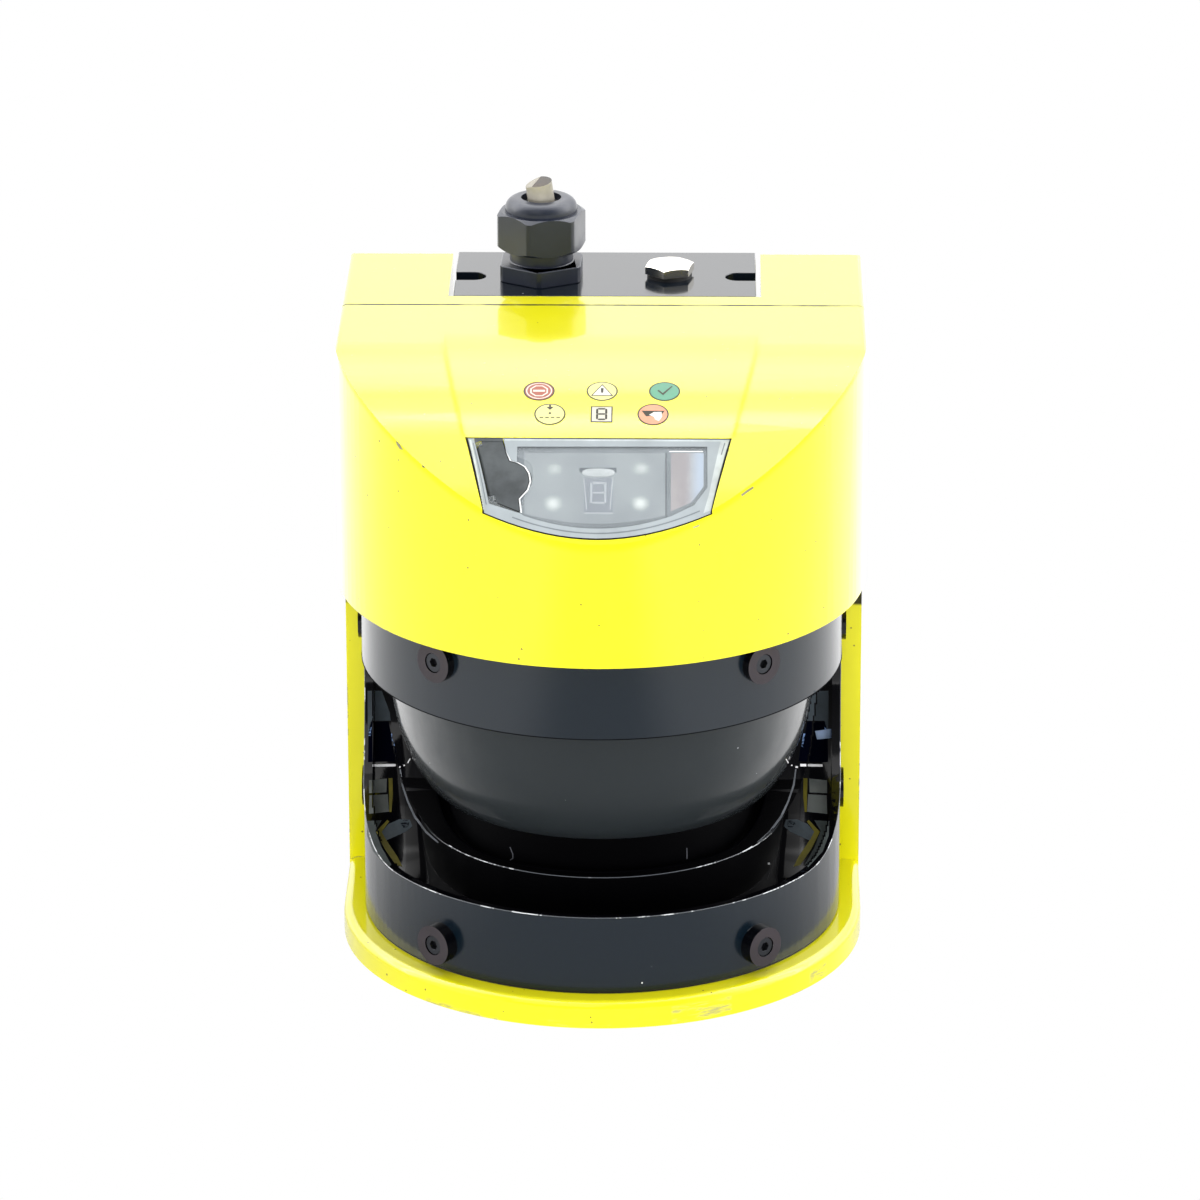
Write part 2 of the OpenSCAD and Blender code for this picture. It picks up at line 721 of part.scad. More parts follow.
module hood() color(yellow) {
    difference() {
        union() {
            difference() {
                intersection() {
                    u_block(front_r, hood_bottom, height);
                    under_slope();
                    top_edges(-rear_y - cut, block_y + cut);
                }
                // space inside, above the inner flange
                intersection() {
                    u_sweep(block_y + cut) translate([0, cover_high + play + deck_t])
                        square([front_r - hood_wall, height]);
                    under_slope(hood_top_wall);
                }
                u_block(deck_r, hood_bottom - cut, cover_high + play + deck_t + cut);
                u_block(cover_r + play, hood_bottom - cut, cover_high + play);
            }
            for (x = [-screw_x_hood, screw_x_hood], z = screw_z_hood)
                translate([x, block_y, z]) rotate([90, 0, 0]) cylinder(d = hood_boss_d, h = hood_boss_len);
            hood_lugs();
        }
        // recessed panel between the creases
        difference() {
            linear_extrude(height = far) panel_plan();
            panel_rod(0);
            box([-far / 2, -far / 2, 0], [far / 2, far / 2, height - panel_r]);
        }
        // seat and opening of the display window
        difference() {
            intersection() {
                window_plan();
                front_barrel(front_r - front_lip);
            }
            panel_rod(glass_t + glass_sink);
            box([-far / 2, -far / 2, 0], [far / 2, far / 2, hood_bottom + deck_t]);
        }
        intersection() {
            window_plan(glass_ledge);
            front_barrel(front_r - hood_wall);
            box([-far / 2, -far / 2, cover_high + play + deck_t], [far / 2, far / 2, height + cut]);
        }
        for (x = [-screw_x_hood, screw_x_hood], z = screw_z_hood)
            translate([x, block_y + cut, z]) rotate([90, 0, 0])
                cylinder(d = hood_screw_d + core_gap, h = hood_boss_len - cut);
        for (side = [-1, 1]) {
            radial(side * boss_angle, high_screw_z) boss_at(high_proud) screw_core();
            sideways(side, side_high_y, side_high_z) boss_at(side_proud) screw_core();
        }
        deck_screws() translate([0, 0, -cut]) cylinder(d = deck_screw_d + core_gap, h = deck_t + 2 * cut);
    }
}

module optics_cover() color(black) {
    difference() {
        union() {
            u_block(cover_r, cover_low, cover_high);
            at_cover_screws() translate([0, 0, -boss_len]) cylinder(d = boss_d, h = boss_len);
        }
        // open front: rim, trough, ridge and groove
        intersection() {
            u_sweep(block_y + cut) translate([inner_r, 0]) square([far / 2, band_bottom]);
            side_cut(rim_arc);
        }
        intersection() {
            u_sweep(block_y + cut) polygon(concat(cheek_side(), [[inner_r, band_bottom], [inner_r, 0]]));
            side_cut(trough_arc);
        }
        intersection() {
            u_sweep(block_y + cut) polygon(concat(window_side(),
                [for (i = [len(cheek_curve) - 1:-1:0]) cheek_curve[i] + [cut, 0]], [[ring_r + cut, 0]]));
            side_cut(ridge_arc);
        }
        intersection() {
            u_sweep(block_y + cut) polygon([[neck_r, 0], [neck_r, window_bottom],
                [ring_r - ridge_w, window_bottom], [ring_r - ridge_w, 0]]);
            side_cut(groove_arc);
        }
        // inside of the shell
        difference() {
            u_sweep(block_y + cut) square([inner_r, band_bottom + cover_wall]);
            side_cut(trough_arc + cover_wall);
        }
        difference() {
            u_sweep(block_y + cut) polygon(concat([[0, 0]], cheek_side(-cover_wall), [[0, band_bottom]]));
            side_cut(groove_arc + cover_wall);
        }
        u_sweep(block_y + cut) polygon(concat([[0, 0]], window_side(-cover_wall),
            [[window_r - cover_wall, band_bottom + cover_wall], [0, band_bottom + cover_wall]]));
        u_sweep(block_y + cut) translate([0, band_bottom + cover_wall]) square([inner_r, far]);
        at_cover_screws() {
            translate([0, 0, -head_h]) cylinder(d = head_d + head_gap, h = head_h + cut);
            translate([0, 0, -head_h - shank_len]) cylinder(d = shank_d + shank_gap, h = shank_len);
        }
    }
}

module cover_seal() color([0.05, 0.05, 0.05]) {
    u_sweep() translate([inner_r, base_t]) square([cover_wall - seal_inset, seal_t]);
}

module cover_screws() color(dark_steel) {
    at_cover_screws() difference() {
        union() {
            translate([0, 0, -head_h]) cylinder(d = head_d, h = head_h - head_sunk);
            translate([0, 0, -head_h - shank_len]) cylinder(d = shank_d, h = shank_len);
        }
        translate([0, 0, -head_sunk - socket_deep])
            cylinder(d = head_d * socket_size, h = socket_deep + cut, $fn = 6);
    }
}

module hood_screws() color(steel) {
    for (x = [-screw_x_hood, screw_x_hood], z = screw_z_hood)
        translate([x, block_y + flange_t, z]) rotate([90, 0, 0]) difference() {
            union() {
                translate([0, 0, -hood_head[1]]) cylinder(d = hood_head[0], h = hood_head[1]);
                cylinder(d = hood_screw_d, h = flange_t + hood_boss_len - hood_screw_d);
            }
            translate([0, 0, -hood_head[1] - cut])
                cylinder(d = hood_head[0] * socket_size, h = socket_deep + cut, $fn = 6);
        }
}

// Outline of the connector flap, grown by a gap, along the panel's normal at its middle
module flap_plan(gap = 0) {
    translate([0, panel_y, height - panel_r]) rotate([panel_angle(flap_mid), 0, 0])
        translate([0, 0, panel_r - flap_reach]) linear_extrude(height = 2 * flap_reach)
            offset(delta = gap) union() {
                polygon([for (p = flap_points) [p[0], flap_up(p[1])]]);
                translate([flap_bulge[0], flap_up(flap_bulge[1])]) circle(r = flap_bulge_r, $fn = 48);
            }
}

hinge_start = panel_point(hinge_a[0], hinge_a[1], hinge_sink);
hinge_end = panel_point(hinge_b[0], hinge_b[1], hinge_sink);
hinge_len = norm(hinge_end - hinge_start);

module hinge_line() {
    v = hinge_end - hinge_start;
    translate(hinge_start) rotate([0, acos(v[2] / norm(v)), atan2(v[1], v[0])]) children();
}

module display_window() color([0.85, 0.88, 0.88, 0.4]) {
    difference() {
        intersection() {
            window_plan(glass_gap);
            front_barrel(front_r - front_lip - glass_gap);
            panel_rod(glass_sink);
        }
        panel_rod(glass_t);
        difference() {
            union() {
                flap_plan(flap_gap);
                translate(flap_swing) flap_plan(flap_gap);
                for (lift = [[0, 0, 0], flap_lift])
                    translate(lift) hinge_line() cylinder(r = hinge_r + flap_gap, h = hinge_len);
            }
            hinge_line() for (z = [0, hinge_len - ear_len])
                translate([0, 0, z]) cylinder(r = ear_r, h = ear_len);
        }
        box([-far / 2, -far / 2, -cut], [far / 2, far / 2, height - panel_r]);
        hinge_line() cylinder(d = flap_pin_d + 2 * shaft_gap, h = hinge_len);
    }
}

// Recess of the tray, in front of the lamps
module recess_plan() {
    top = window_y - recess_back;
    linear_extrude(height = far) intersection() {
        polygon([[recess_left, top], [recess_right, top], [recess_right, window_y - recess_bend],
            [divider_x + divider_t, window_y - recess_slant], [divider_x + divider_t, -far],
            [recess_front_left, -far]]);
        translate([0, axis_y]) circle(r = front_r - recess_edge);
    }
}

module display_tray() color([0.72, 0.74, 0.74]) {
    difference() {
        union() {
            difference() {
                intersection() {
                    window_plan(glass_ledge + play);
                    front_barrel(front_r - hood_wall - play);
                    panel_rod(glass_t + tray_skin);
                }
                panel_rod(tray_deep);
                box([-far / 2, -far / 2, -cut], [far / 2, far / 2, height - panel_r]);
            }
            difference() {
                intersection() {
                    window_plan(-tray_rim);
                    front_barrel(front_r - hood_wall - play);
                    under_slope(hood_top_wall + play);
                }
                under_slope(hood_top_wall + play + tray_flange_t);
                box([-far / 2, -far / 2, -cut], [far / 2, far / 2, height - slope_r]);
            }
            for (x = [-tray_post_x, tray_post_x], drop = board_drops)
                on_panel(x, drop, board_down) cylinder(r = tray_post_r, h = board_down - tray_deep + cut);
        }
        difference() {
            recess_plan();
            panel_rod(recess_deep);
            divider();
            box([-far / 2, -far / 2, -cut], [far / 2, far / 2, height - panel_r]);
        }
        on_panel(connector_place[0], connector_place[1], connector_deep + cut)
            cylinder(d = connector_d + 2 * shaft_gap, h = far);
    }
}

// Upright wall between the display and the lamp compartment
module divider() {
    difference() {
        box([divider_x, -far / 2, 0], [divider_x + divider_t, far / 2, height]);
        difference() {
            box([-far / 2, -far / 2, 0], [far / 2, far / 2, height + cut]);
            panel_rod(glass_t + divider_low);
        }
    }
}

module connector_flap() color([0.3, 0.3, 0.31]) {
    difference() {
        intersection() {
            union() {
                flap_plan();
                hinge_line() cylinder(r = hinge_r, h = hinge_len);
            }
            panel_rod(glass_sink);
        }
        difference() {
            panel_rod(glass_sink + flap_t);
            hinge_line() cylinder(r = hinge_r, h = hinge_len);
        }
        box([-far / 2, window_y - flap_edge, 0], [far / 2, far, far]);
        box([-far / 2, -far / 2, -cut], [far / 2, far / 2, height - panel_r]);
        hinge_line() for (z = [-flap_t, hinge_len - ear_len - ear_gap])
            translate([0, 0, z]) cylinder(r = ear_r + ear_gap, h = ear_len + flap_t + ear_gap);
    }
    hinge_line() translate([0, 0, pin_inset]) cylinder(d = flap_pin_d, h = hinge_len - 2 * pin_inset);
}

module display_board() color(board_green) {
    on_panel(0, (board_drops[0] + board_drops[1]) / 2, board_down + board_t + core_end)
        translate([-display_board_w / 2, -display_board_len / 2, 0])
            cube([display_board_w, display_board_len, board_t]);
}

module digit_display() color([0.2, 0.2, 0.22]) {
    difference() {
        on_panel(display_x, digit_drop, recess_deep + piece_dip)
            translate([-digit_w / 2, digit_back - digit_len, 0]) cube([digit_w, digit_len, lamp_h]);
        panel_rod(recess_deep);
    }
}

module status_leds() color([0.95, 0.95, 0.9]) {
    for (x = [-led_x, led_x], drop = led_drops) difference() {
        on_panel(x, drop, recess_deep + piece_dip) rotate_extrude()
            polygon([[0, 0], [led_r, 0], [led_r, led_base], [led_r * 0.8, (led_base + led_h) / 2],
                [led_r * 0.4, led_h * 0.95], [0, led_h]]);
        panel_rod(recess_deep);
    }
}

module light_guide() color([0.97, 0.97, 0.95]) {
    difference() {
        on_panel(display_x, lamp_drop, recess_deep + piece_dip) {
            for (x = [-lamp_reach, lamp_reach]) translate([x, 0, 0]) cylinder(r = led_r, h = lamp_h);
            box([-lamp_reach, -led_r, 0], [lamp_reach, led_r, lamp_h]);
        }
        panel_rod(recess_deep);
    }
}

module service_connector() color(black) {
    on_panel(connector_place[0], connector_place[1], connector_deep) difference() {
        union() {
            cylinder(d = connector_d, h = connector_len);
            cylinder(d = connector_foot_d, h = connector_deep - tray_deep - play);
        }
        translate([0, 0, connector_len / 2]) cylinder(d = connector_bore, h = connector_len);
    }
}

module system_plug() color(black) {
    difference() {
        union() {
            difference() {
                box([plug_left, plug_front, plug_low], [plug_right, rear_y, height]);
                box([plug_left + plug_wall, plug_front + plug_wall, plug_low - cut],
                    [plug_right - plug_wall, rear_y - plug_wall, height - plug_wall]);
            }
            for (side = [-1, 1]) end_slot(side, slot_wall, plug_low);
        }
        for (side = [-1, 1]) end_slot(side, 0, slot_z, cut);
        for (x = screw_sides)
            translate([x, slot_y, plug_low - cut]) cylinder(d = shank_d + core_gap, h = far);
        translate([gland_x, gland_y, height - far / 2]) cylinder(d = gland_thread + core_gap, h = far);
        translate([blank_x, gland_y, height - far / 2]) cylinder(d = blank_thread + core_gap, h = far);
    }
}

// Open-ended slot at one end of the block, grown by a wall, from a height to the top
module end_slot(side, wall, z, over = 0) {
    x = screw_sides[side > 0 ? 1 : 0];
    r = slot_w / 2 + wall;
    end_x = (side > 0 ? plug_right : plug_left) + side * over;
    translate([x, slot_y, z]) cylinder(r = r, h = height + over - z);
    box([min(x, end_x), slot_y - r, z], [max(x, end_x), slot_y + r, height + over]);
}

module plug_base() color([0.2, 0.2, 0.2]) {
    inset = plug_wall + press_gap;
    difference() {
        box([plug_left + inset, plug_front + inset, plug_low],
            [plug_right - inset, rear_y - inset, plug_low + plug_base_t]);
        for (side = [-1, 1]) end_slot(side, slot_wall + press_gap, plug_low - cut);
    }
}

module plug_connector() color([0.85, 0.82, 0.7]) {
    conn_box(0, pocket_z - conn_dip, plug_low);
}

module plug_socket() color([0.15, 0.15, 0.15]) {
    floor_z = pocket_z - tub_wall;
    difference() {
        union() {
            conn_box(socket_wall, floor_z - socket_flange_t, plug_low - conn_dip);
            conn_box(socket_flange, floor_z - socket_flange_t, floor_z);
        }
        conn_box(play, pocket_z - conn_dip - play, height);
    }
}

module plug_screws() color(steel) {
    shank_low = pocket_z - tub_wall + cut;
    for (x = screw_sides) translate([x, slot_y, 0]) difference() {
        union() {
            translate([0, 0, slot_z]) cylinder(d = plug_head[0], h = plug_head[1]);
            translate([0, 0, shank_low]) cylinder(d = shank_d, h = slot_z - shank_low);
        }
        translate([0, 0, slot_z + plug_head[1] - socket_deep])
            cylinder(d = plug_head[0] * socket_size, h = socket_deep + cut, $fn = 6);
    }
}

// Hexagonal prism of a size across the flats, with its corners turned down
module hexagon(af, h, turn) {
    intersection() {
        rotate([0, 0, turn]) cylinder(d = af / cos(30), h = h, $fn = 6);
        cylinder(d = af * corner_turn, h = h);
    }
}

module gland_body() color(black) {
    translate([gland_x, gland_y, height]) difference() {
        union() {
            hexagon(gland_af, gland_hex_h, body_turn);
            translate([0, 0, -gland_dip]) cylinder(d = gland_thread, h = gland_dip + nut_z + nut_h / 2);
        }
        translate([0, 0, -far / 2]) cylinder(d = cable_d + cut, h = far);
        translate([0, 0, gland_hex_h - cut]) cylinder(d = cable_d + 2 * gland_wall, h = far);
    }
}

module gland_locknut() color([0.14, 0.14, 0.14]) {
    translate([gland_x, gland_y, height - plug_wall - locknut_h]) difference() {
        hexagon(gland_af, locknut_h, locknut_turn);
        translate([0, 0, -cut]) cylinder(d = gland_thread + core_gap, h = far);
    }
}

module gland_seal() color([0.05, 0.05, 0.05]) {
    low = height + gland_hex_h - cut;
    translate([gland_x, gland_y, low])
        ring(cable_d + 2 * gland_wall - core_gap, cable_d + core_gap, crown_z - low - gland_wall);
}

module gland_nut() color(black) {
    flat_r = gland_af / 2;
    corner_r = gland_af * corner_turn / 2 + head_gap;
    translate([gland_x, gland_y, height + nut_z]) difference() {
        union() {
            intersection() {
                hexagon(gland_af, nut_h, nut_turn);
                // corners chamfered at both ends
                rotate_extrude() polygon([[0, 0], [flat_r, 0], [corner_r, nut_chamfer],
                    [corner_r, nut_h - nut_chamfer], [flat_r, nut_h], [0, nut_h]]);
            }
            rotate_extrude() polygon(concat([[0, nut_h - cut], [crown_r, nut_h - cut]],
                arc(crown_r - crown_edge, nut_h + crown_h - crown_edge, crown_edge, 0, 90, 8),
                [[0, nut_h + crown_h]]));
        }
        translate([0, 0, -cut]) cylinder(d = gland_thread + core_gap, h = cut + nut_h / 2 + play);
        translate([0, 0, -cut]) cylinder(d = cable_d + 2 * gland_wall, h = far);
    }
}

// Two lengths of cable that meet at a mitre just above the gland
module cable_stub() color([0.62, 0.6, 0.56]) {
    base_z = height - gland_dip + cut;
    bend_z = crown_z - cut;
    translate([gland_x, gland_y, bend_z]) {
        difference() {
            translate([0, 0, base_z - bend_z]) cylinder(d = cable_d, h = bend_z - base_z + cable_d);
            rotate([0, -stub_lean / 2, 0]) box([-far / 2, -far / 2, 0], [far / 2, far / 2, far]);
        }
        difference() {
            rotate([0, -stub_lean, 0]) translate([0, 0, -cable_d])
                cylinder(d = cable_d, h = stub_out + 2 * cable_d);
            rotate([0, -stub_lean / 2, 0]) box([-far / 2, -far / 2, -far], [far / 2, far / 2, 0]);
            rotate([0, -stub_lean, 0]) translate([0, 0, stub_out]) rotate([0, -cut_slant, 0])
                box([-far / 2, -far / 2, 0], [far / 2, far / 2, far]);
        }
    }
}

module blanking_plug() color([0.8, 0.79, 0.76]) {
    translate([blank_x, gland_y, height + blank_seal_t]) {
        intersection() {
            rotate([0, 0, blank_turn]) cylinder(r = blank_r, h = blank_h, $fn = 6);
            rotate_extrude() polygon([[0, 0], [blank_r, 0], [blank_r, blank_h * 0.85],
                [blank_r * 0.88, blank_h], [0, blank_h]]);
        }
        translate([0, 0, -blank_dip]) cylinder(d = blank_thread, h = blank_dip);
    }
}

module blanking_seal() color([0.05, 0.05, 0.05]) {
    translate([blank_x, gland_y, height])
        ring(blank_thread + blank_seal_w, blank_thread + core_gap, blank_seal_t);
}

module on_axis(z = 0) {
    translate([0, axis_y, z]) children();
}

module ring(outer, inner, h) {
    difference() {
        cylinder(d = outer, h = h);
        translate([0, 0, -cut]) cylinder(d = inner, h = h + 2 * cut);
    }
}

module motor_plate() color(steel) {
    on_axis(base_t) ring(motor_d + 2 * plate_lap, plate_hole, plate_t);
}

module motor_can() color([0.5, 0.5, 0.52]) {
    on_axis(motor_z) difference() {
        cylinder(d = motor_d, h = motor_h);
        translate([0, 0, end_wall]) cylinder(d = motor_d - 2 * can_wall, h = motor_h - 2 * end_wall);
        translate([0, 0, -cut]) cylinder(d = bearing_d - 2 * bearing_lip, h = far);
        for (z = [bearing_in, motor_h - bearing_in - bearing_w])
            translate([0, 0, z]) cylinder(d = bearing_d + 2 * fit, h = bearing_w);
    }
}

module motor_stator() color([0.72, 0.45, 0.2]) {
    on_axis(motor_z + end_wall) ring(motor_d - 2 * can_wall - 2 * fit, stator_bore, motor_h - 2 * end_wall);
}

module motor_bearings() color(steel) {
    for (z = [bearing_in, motor_h - bearing_in - bearing_w])
        on_axis(motor_z + z) ring(bearing_d, shaft_d + 2 * shaft_gap, bearing_w);
}

module motor_shaft() color([0.8, 0.8, 0.82]) {
    on_axis(motor_z + cut) cylinder(d = shaft_d, h = hub_z + shaft_end - motor_z - cut);
}

module rotor_magnet() color([0.3, 0.3, 0.32]) {
    on_axis(motor_z + end_wall + magnet_gap)
        ring(magnet_d, shaft_d + 2 * fit, motor_h - 2 * end_wall - 2 * magnet_gap);
}

module encoder_disc() color([0.85, 0.87, 0.9]) {
    on_axis(disc_z) ring(encoder_d, shaft_d + 2 * fit, disc_t);
}

module encoder_fork() color(black) {
    start = motor_d / 2 - fork_in;
    on_axis(motor_top) difference() {
        box([start, -fork_w / 2, 0], [encoder_d / 2 + fork_out, fork_w / 2, fork_h]);
        box([start - cut, -fork_w, fork_slot[0]], [encoder_d / 2 + cut, fork_w, fork_slot[1]]);
    }
}

// Slab tilted by 45 degrees, with its upper face through the axis at the scan plane
module tilted(from, to) {
    on_axis(scan_z) rotate([45, 0, 0]) box([-mirror_d, -mirror_d, -to], [mirror_d, mirror_d, -from]);
}

module mirror_carrier() color([0.6, 0.6, 0.62]) {
    difference() {
        union() {
            on_axis(hub_z) cylinder(d = hub_d, h = hub_h);
            intersection() {
                on_axis(hub_z + mirror_t) cylinder(d = mirror_d, h = far);
                tilted(mirror_t, far);
            }
        }
        on_axis(hub_z - cut) cylinder(d = shaft_d + 2 * fit, h = shaft_end + 2 * cut);
    }
}

module scan_mirror() color([0.9, 0.92, 0.95]) {
    intersection() {
        on_axis() cylinder(d = mirror_d - 2 * mirror_edge, h = far);
        tilted(0, mirror_t);
    }
}

module optics_frame() color([0.25, 0.25, 0.27]) {
    low = lens_z - cut;
    difference() {
        union() {
            on_axis(low) cylinder(d = lens_d + 2 * tube_wall, h = deck_z + deck_t - low);
            difference() {
                u_block(deck_r + deck_lap, deck_z, deck_z + deck_t - socket_gap);
                box([-far / 2, block_y - play, 0], [far / 2, far, far]);
                hood_lugs(play);
            }
        }
        on_axis(low - cut) cylinder(d = lens_d + 2 * fit, h = lens_h + 2 * cut + play);
        on_axis(lens_z) cylinder(d = lens_d - 2 * lens_edge, h = receiver_z - lens_z);
        on_axis(receiver_z) cylinder(d = lens_d + 2 * fit, h = far);
        deck_screws() translate([0, 0, -far / 2]) cylinder(d = deck_screw_d + 3 * play, h = far);
    }
    // cross bar that holds the laser tube
    difference() {
        on_axis(bar_z) box([-lens_d / 2, -bar_w / 2, 0], [lens_d / 2, bar_w / 2, bar_h]);
        on_axis(lens_z) cylinder(d = laser_d + 2 * fit, h = far);
    }
}

module receiver_lens() color([0.5, 0.3, 0.35, 0.5]) {
    on_axis(lens_z) difference() {
        intersection() {
            cylinder(d = lens_d, h = lens_h);
            translate([0, 0, lens_h - lens_bulge_r]) sphere(r = lens_bulge_r);
        }
        translate([0, 0, -cut]) cylinder(d = laser_d + core_gap, h = lens_h + 2 * cut);
    }
}

module lens_ring() color(dark_steel) {
    on_axis(lens_z - cut) ring(lens_d, lens_d - 2 * lens_edge, cut);
}

module laser_module() color([0.75, 0.62, 0.3]) {
    on_axis(lens_z - cut) difference() {
        cylinder(d = laser_d, h = laser_len);
        translate([0, 0, -cut]) cylinder(d = laser_bore, h = lens_h + cut);
    }
}

module receiver_board() color(board_green) {
    on_axis(receiver_z) cylinder(d = lens_d, h = board_t);
}

// Children at the four screws that hold the receiver's deck under the hood's flange
module deck_screws() {
    r = deck_r + deck_screw_in;
    front = [r * sin(deck_screw_angle), axis_y - r * cos(deck_screw_angle)];
    for (side = [-1, 1], place = [[r, block_y - deck_screw_back], front])
        translate([side * place[0], place[1], cover_high + play]) children();
}

module optics_screws() color(steel) {
    deck_screws() {
        translate([0, 0, -deck_t]) cylinder(d = deck_screw_d, h = 2 * deck_t - core_end);
        translate([0, 0, -deck_t - deck_head[1]]) cylinder(d = deck_head[0], h = deck_head[1]);
    }
}

module window_sensors() color(board_green) {
    low = band_bottom + cover_wall;
    intersection() {
        u_block(inner_r - play, low, low + board_t);
        difference() {
            box([-far / 2, -far / 2, low - cut], [far / 2, sensor_end, low + 2 * board_t]);
            u_sweep() translate([0, low - cut]) square([inner_r - play - sensor_w, far]);
        }
    }
}

module main_board() color(board_green) {
    box([-board_half, board_y, board_low], [board_half, board_y + board_t, board_high]);
}

module board_parts() color([0.13, 0.13, 0.14]) {
    for (p = big_parts)
        translate([p[0], board_y - p[3], board_low + p[1]]) cube([p[2], p[3], p[2]]);
}

housing();
hood();
optics_cover();
cover_seal();
cover_screws();
hood_screws();
display_window();
display_tray();
display_board();
digit_display();
status_leds();
light_guide();
connector_flap();
service_connector();
system_plug();
plug_base();
plug_connector();
plug_socket();
plug_screws();
gland_body();
gland_locknut();
gland_seal();
gland_nut();
cable_stub();
blanking_plug();
blanking_seal();
motor_plate();
motor_can();
motor_stator();
motor_bearings();
motor_shaft();
rotor_magnet();
encoder_disc();
encoder_fork();
mirror_carrier();
scan_mirror();
optics_frame();
receiver_lens();
lens_ring();
laser_module();
receiver_board();
optics_screws();
window_sensors();
main_board();
board_parts();
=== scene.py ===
"""Looks of the safety laser scanner: finishes, fine detail, light and camera round its CAD frame."""

import functools
import math

import bmesh
import bpy
from mathutils import Matrix, Vector
from mathutils.bvhtree import BVHTree


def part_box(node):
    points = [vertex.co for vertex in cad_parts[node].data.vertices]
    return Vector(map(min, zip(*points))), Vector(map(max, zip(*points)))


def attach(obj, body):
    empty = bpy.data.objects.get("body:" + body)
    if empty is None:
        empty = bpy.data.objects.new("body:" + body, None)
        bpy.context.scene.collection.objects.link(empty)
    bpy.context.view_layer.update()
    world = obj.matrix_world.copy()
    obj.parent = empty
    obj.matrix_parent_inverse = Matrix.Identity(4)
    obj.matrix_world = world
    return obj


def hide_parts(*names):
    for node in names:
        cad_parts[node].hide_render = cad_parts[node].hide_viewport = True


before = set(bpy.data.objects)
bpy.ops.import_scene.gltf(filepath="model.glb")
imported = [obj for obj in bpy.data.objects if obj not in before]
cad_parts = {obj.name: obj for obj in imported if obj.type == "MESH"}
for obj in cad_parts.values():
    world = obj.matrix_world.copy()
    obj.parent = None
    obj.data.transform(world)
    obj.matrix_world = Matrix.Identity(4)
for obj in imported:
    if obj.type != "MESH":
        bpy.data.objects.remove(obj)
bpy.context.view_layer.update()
MM = 0.001

# Places taken from the frame
HOOD_LOW, HOOD_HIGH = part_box("hood")
TOP = HOOD_HIGH.z
SEAM_Y = HOOD_HIGH.y
FRONT_Y = HOOD_LOW.y

# The hood's recessed panel, and the slope beside it, are parts of round bars that lie across the scanner
PANEL_R = 112 * MM
PANEL_Y = 2 * MM
SLOPE_R = 96 * MM
SLOPE_Y = -5.6 * MM
PANEL_HALF = 46.2 * MM      # half width of the panel
PANEL_NARROW = 16.1 * MM    # how much it narrows towards the front
NARROW_Y = PANEL_Y + 10 * MM    # where that starts
WINDOW_TOP = -52.2 * MM     # upper edge of the display
AXIS_Y = FRONT_Y + (HOOD_HIGH.x - HOOD_LOW.x) / 2    # middle of the round front
BAND_Z = 87.5 * MM          # underside of the cover's upper band
WINDOW_Z = 48.4 * MM        # underside of the cover's window
RIM_R = 71 * MM             # outer radius of the cover
SMOOTH = math.radians(32)   # flatter edges than this are shaded smooth


# ---- node helpers

def srgb(*screen):
    """Colour as read off a screen, 0 to 255, made linear."""
    def linear(v):
        v /= 255
        return v / 12.92 if v <= 0.04045 else ((v + 0.055) / 1.055) ** 2.4
    return (*map(linear, screen), 1.0)


def feed(tree, sockets, values):
    """Sets sockets, by name or number, to values, or links them to the sockets given as values."""
    for name, value in values.items():
        if isinstance(value, bpy.types.NodeSocket):
            tree.links.new(value, sockets[name])
        else:
            sockets[name].default_value = value


def add(tree, kind, inputs=None, **settings):
    made = tree.nodes.new(kind)
    for name, value in settings.items():
        setattr(made, name, value)
    feed(tree, made.inputs, inputs or {})
    return made


def maths(tree, operation, a, b=0.0, clamp=False):
    return add(tree, "ShaderNodeMath", {0: a, 1: b}, operation=operation, use_clamp=clamp).outputs[0]


def times(tree, first, *others):
    for other in others:
        first = maths(tree, "MULTIPLY", first, other)
    return first


def plus(tree, a, b):
    return maths(tree, "ADD", a, b)


def minus(tree, a, b):
    return maths(tree, "SUBTRACT", a, b)


def larger(tree, a, b):
    return maths(tree, "MAXIMUM", a, b)


def size_of(tree, value):
    return maths(tree, "ABSOLUTE", value)


def length(tree, a, b):
    return maths(tree, "SQRT", plus(tree, times(tree, a, a), times(tree, b, b)))


def spread(tree, value, low, high, to_low=0.0, to_high=1.0):
    """value mapped from low..high to to_low..to_high, and held at the ends."""
    return add(tree, "ShaderNodeMapRange",
               {"Value": value, "From Min": low, "From Max": high, "To Min": to_low, "To Max": to_high},
               interpolation_type="SMOOTHSTEP").outputs["Result"]


def mix(tree, factor, a, b):
    return add(tree, "ShaderNodeMix", {"Factor": factor, 6: a, 7: b}, data_type="RGBA").outputs[2]


def place(tree):
    return add(tree, "ShaderNodeTexCoord").outputs["Object"]


def xyz(tree, vector=None):
    """Coordinates of the place, or of a vector."""
    return add(tree, "ShaderNodeSeparateXYZ", {"Vector": vector or place(tree)}).outputs


def noise(tree, scale, detail=3.0, roughness=0.55, vector=None):
    return add(tree, "ShaderNodeTexNoise", {"Vector": vector or place(tree), "Scale": scale,
                                            "Detail": detail, "Roughness": roughness}).outputs["Fac"]


def new_group(name, inputs, outputs, kind="Shader"):
    """Node group with its own inputs and outputs, and the sockets of the nodes at its two ends."""
    group = bpy.data.node_groups.new(name, kind + "NodeTree")
    for label, of_kind, value in inputs:
        socket = group.interface.new_socket(label, in_out="INPUT", socket_type="NodeSocket" + of_kind)
        if value is not None:
            socket.default_value = value
    for label, of_kind in outputs:
        group.interface.new_socket(label, in_out="OUTPUT", socket_type="NodeSocket" + of_kind)
    return group, group.nodes.new("NodeGroupInput").outputs, group.nodes.new("NodeGroupOutput").inputs


def use_group(tree, group, inputs):
    return add(tree, "ShaderNodeGroup", inputs, node_tree=group).outputs


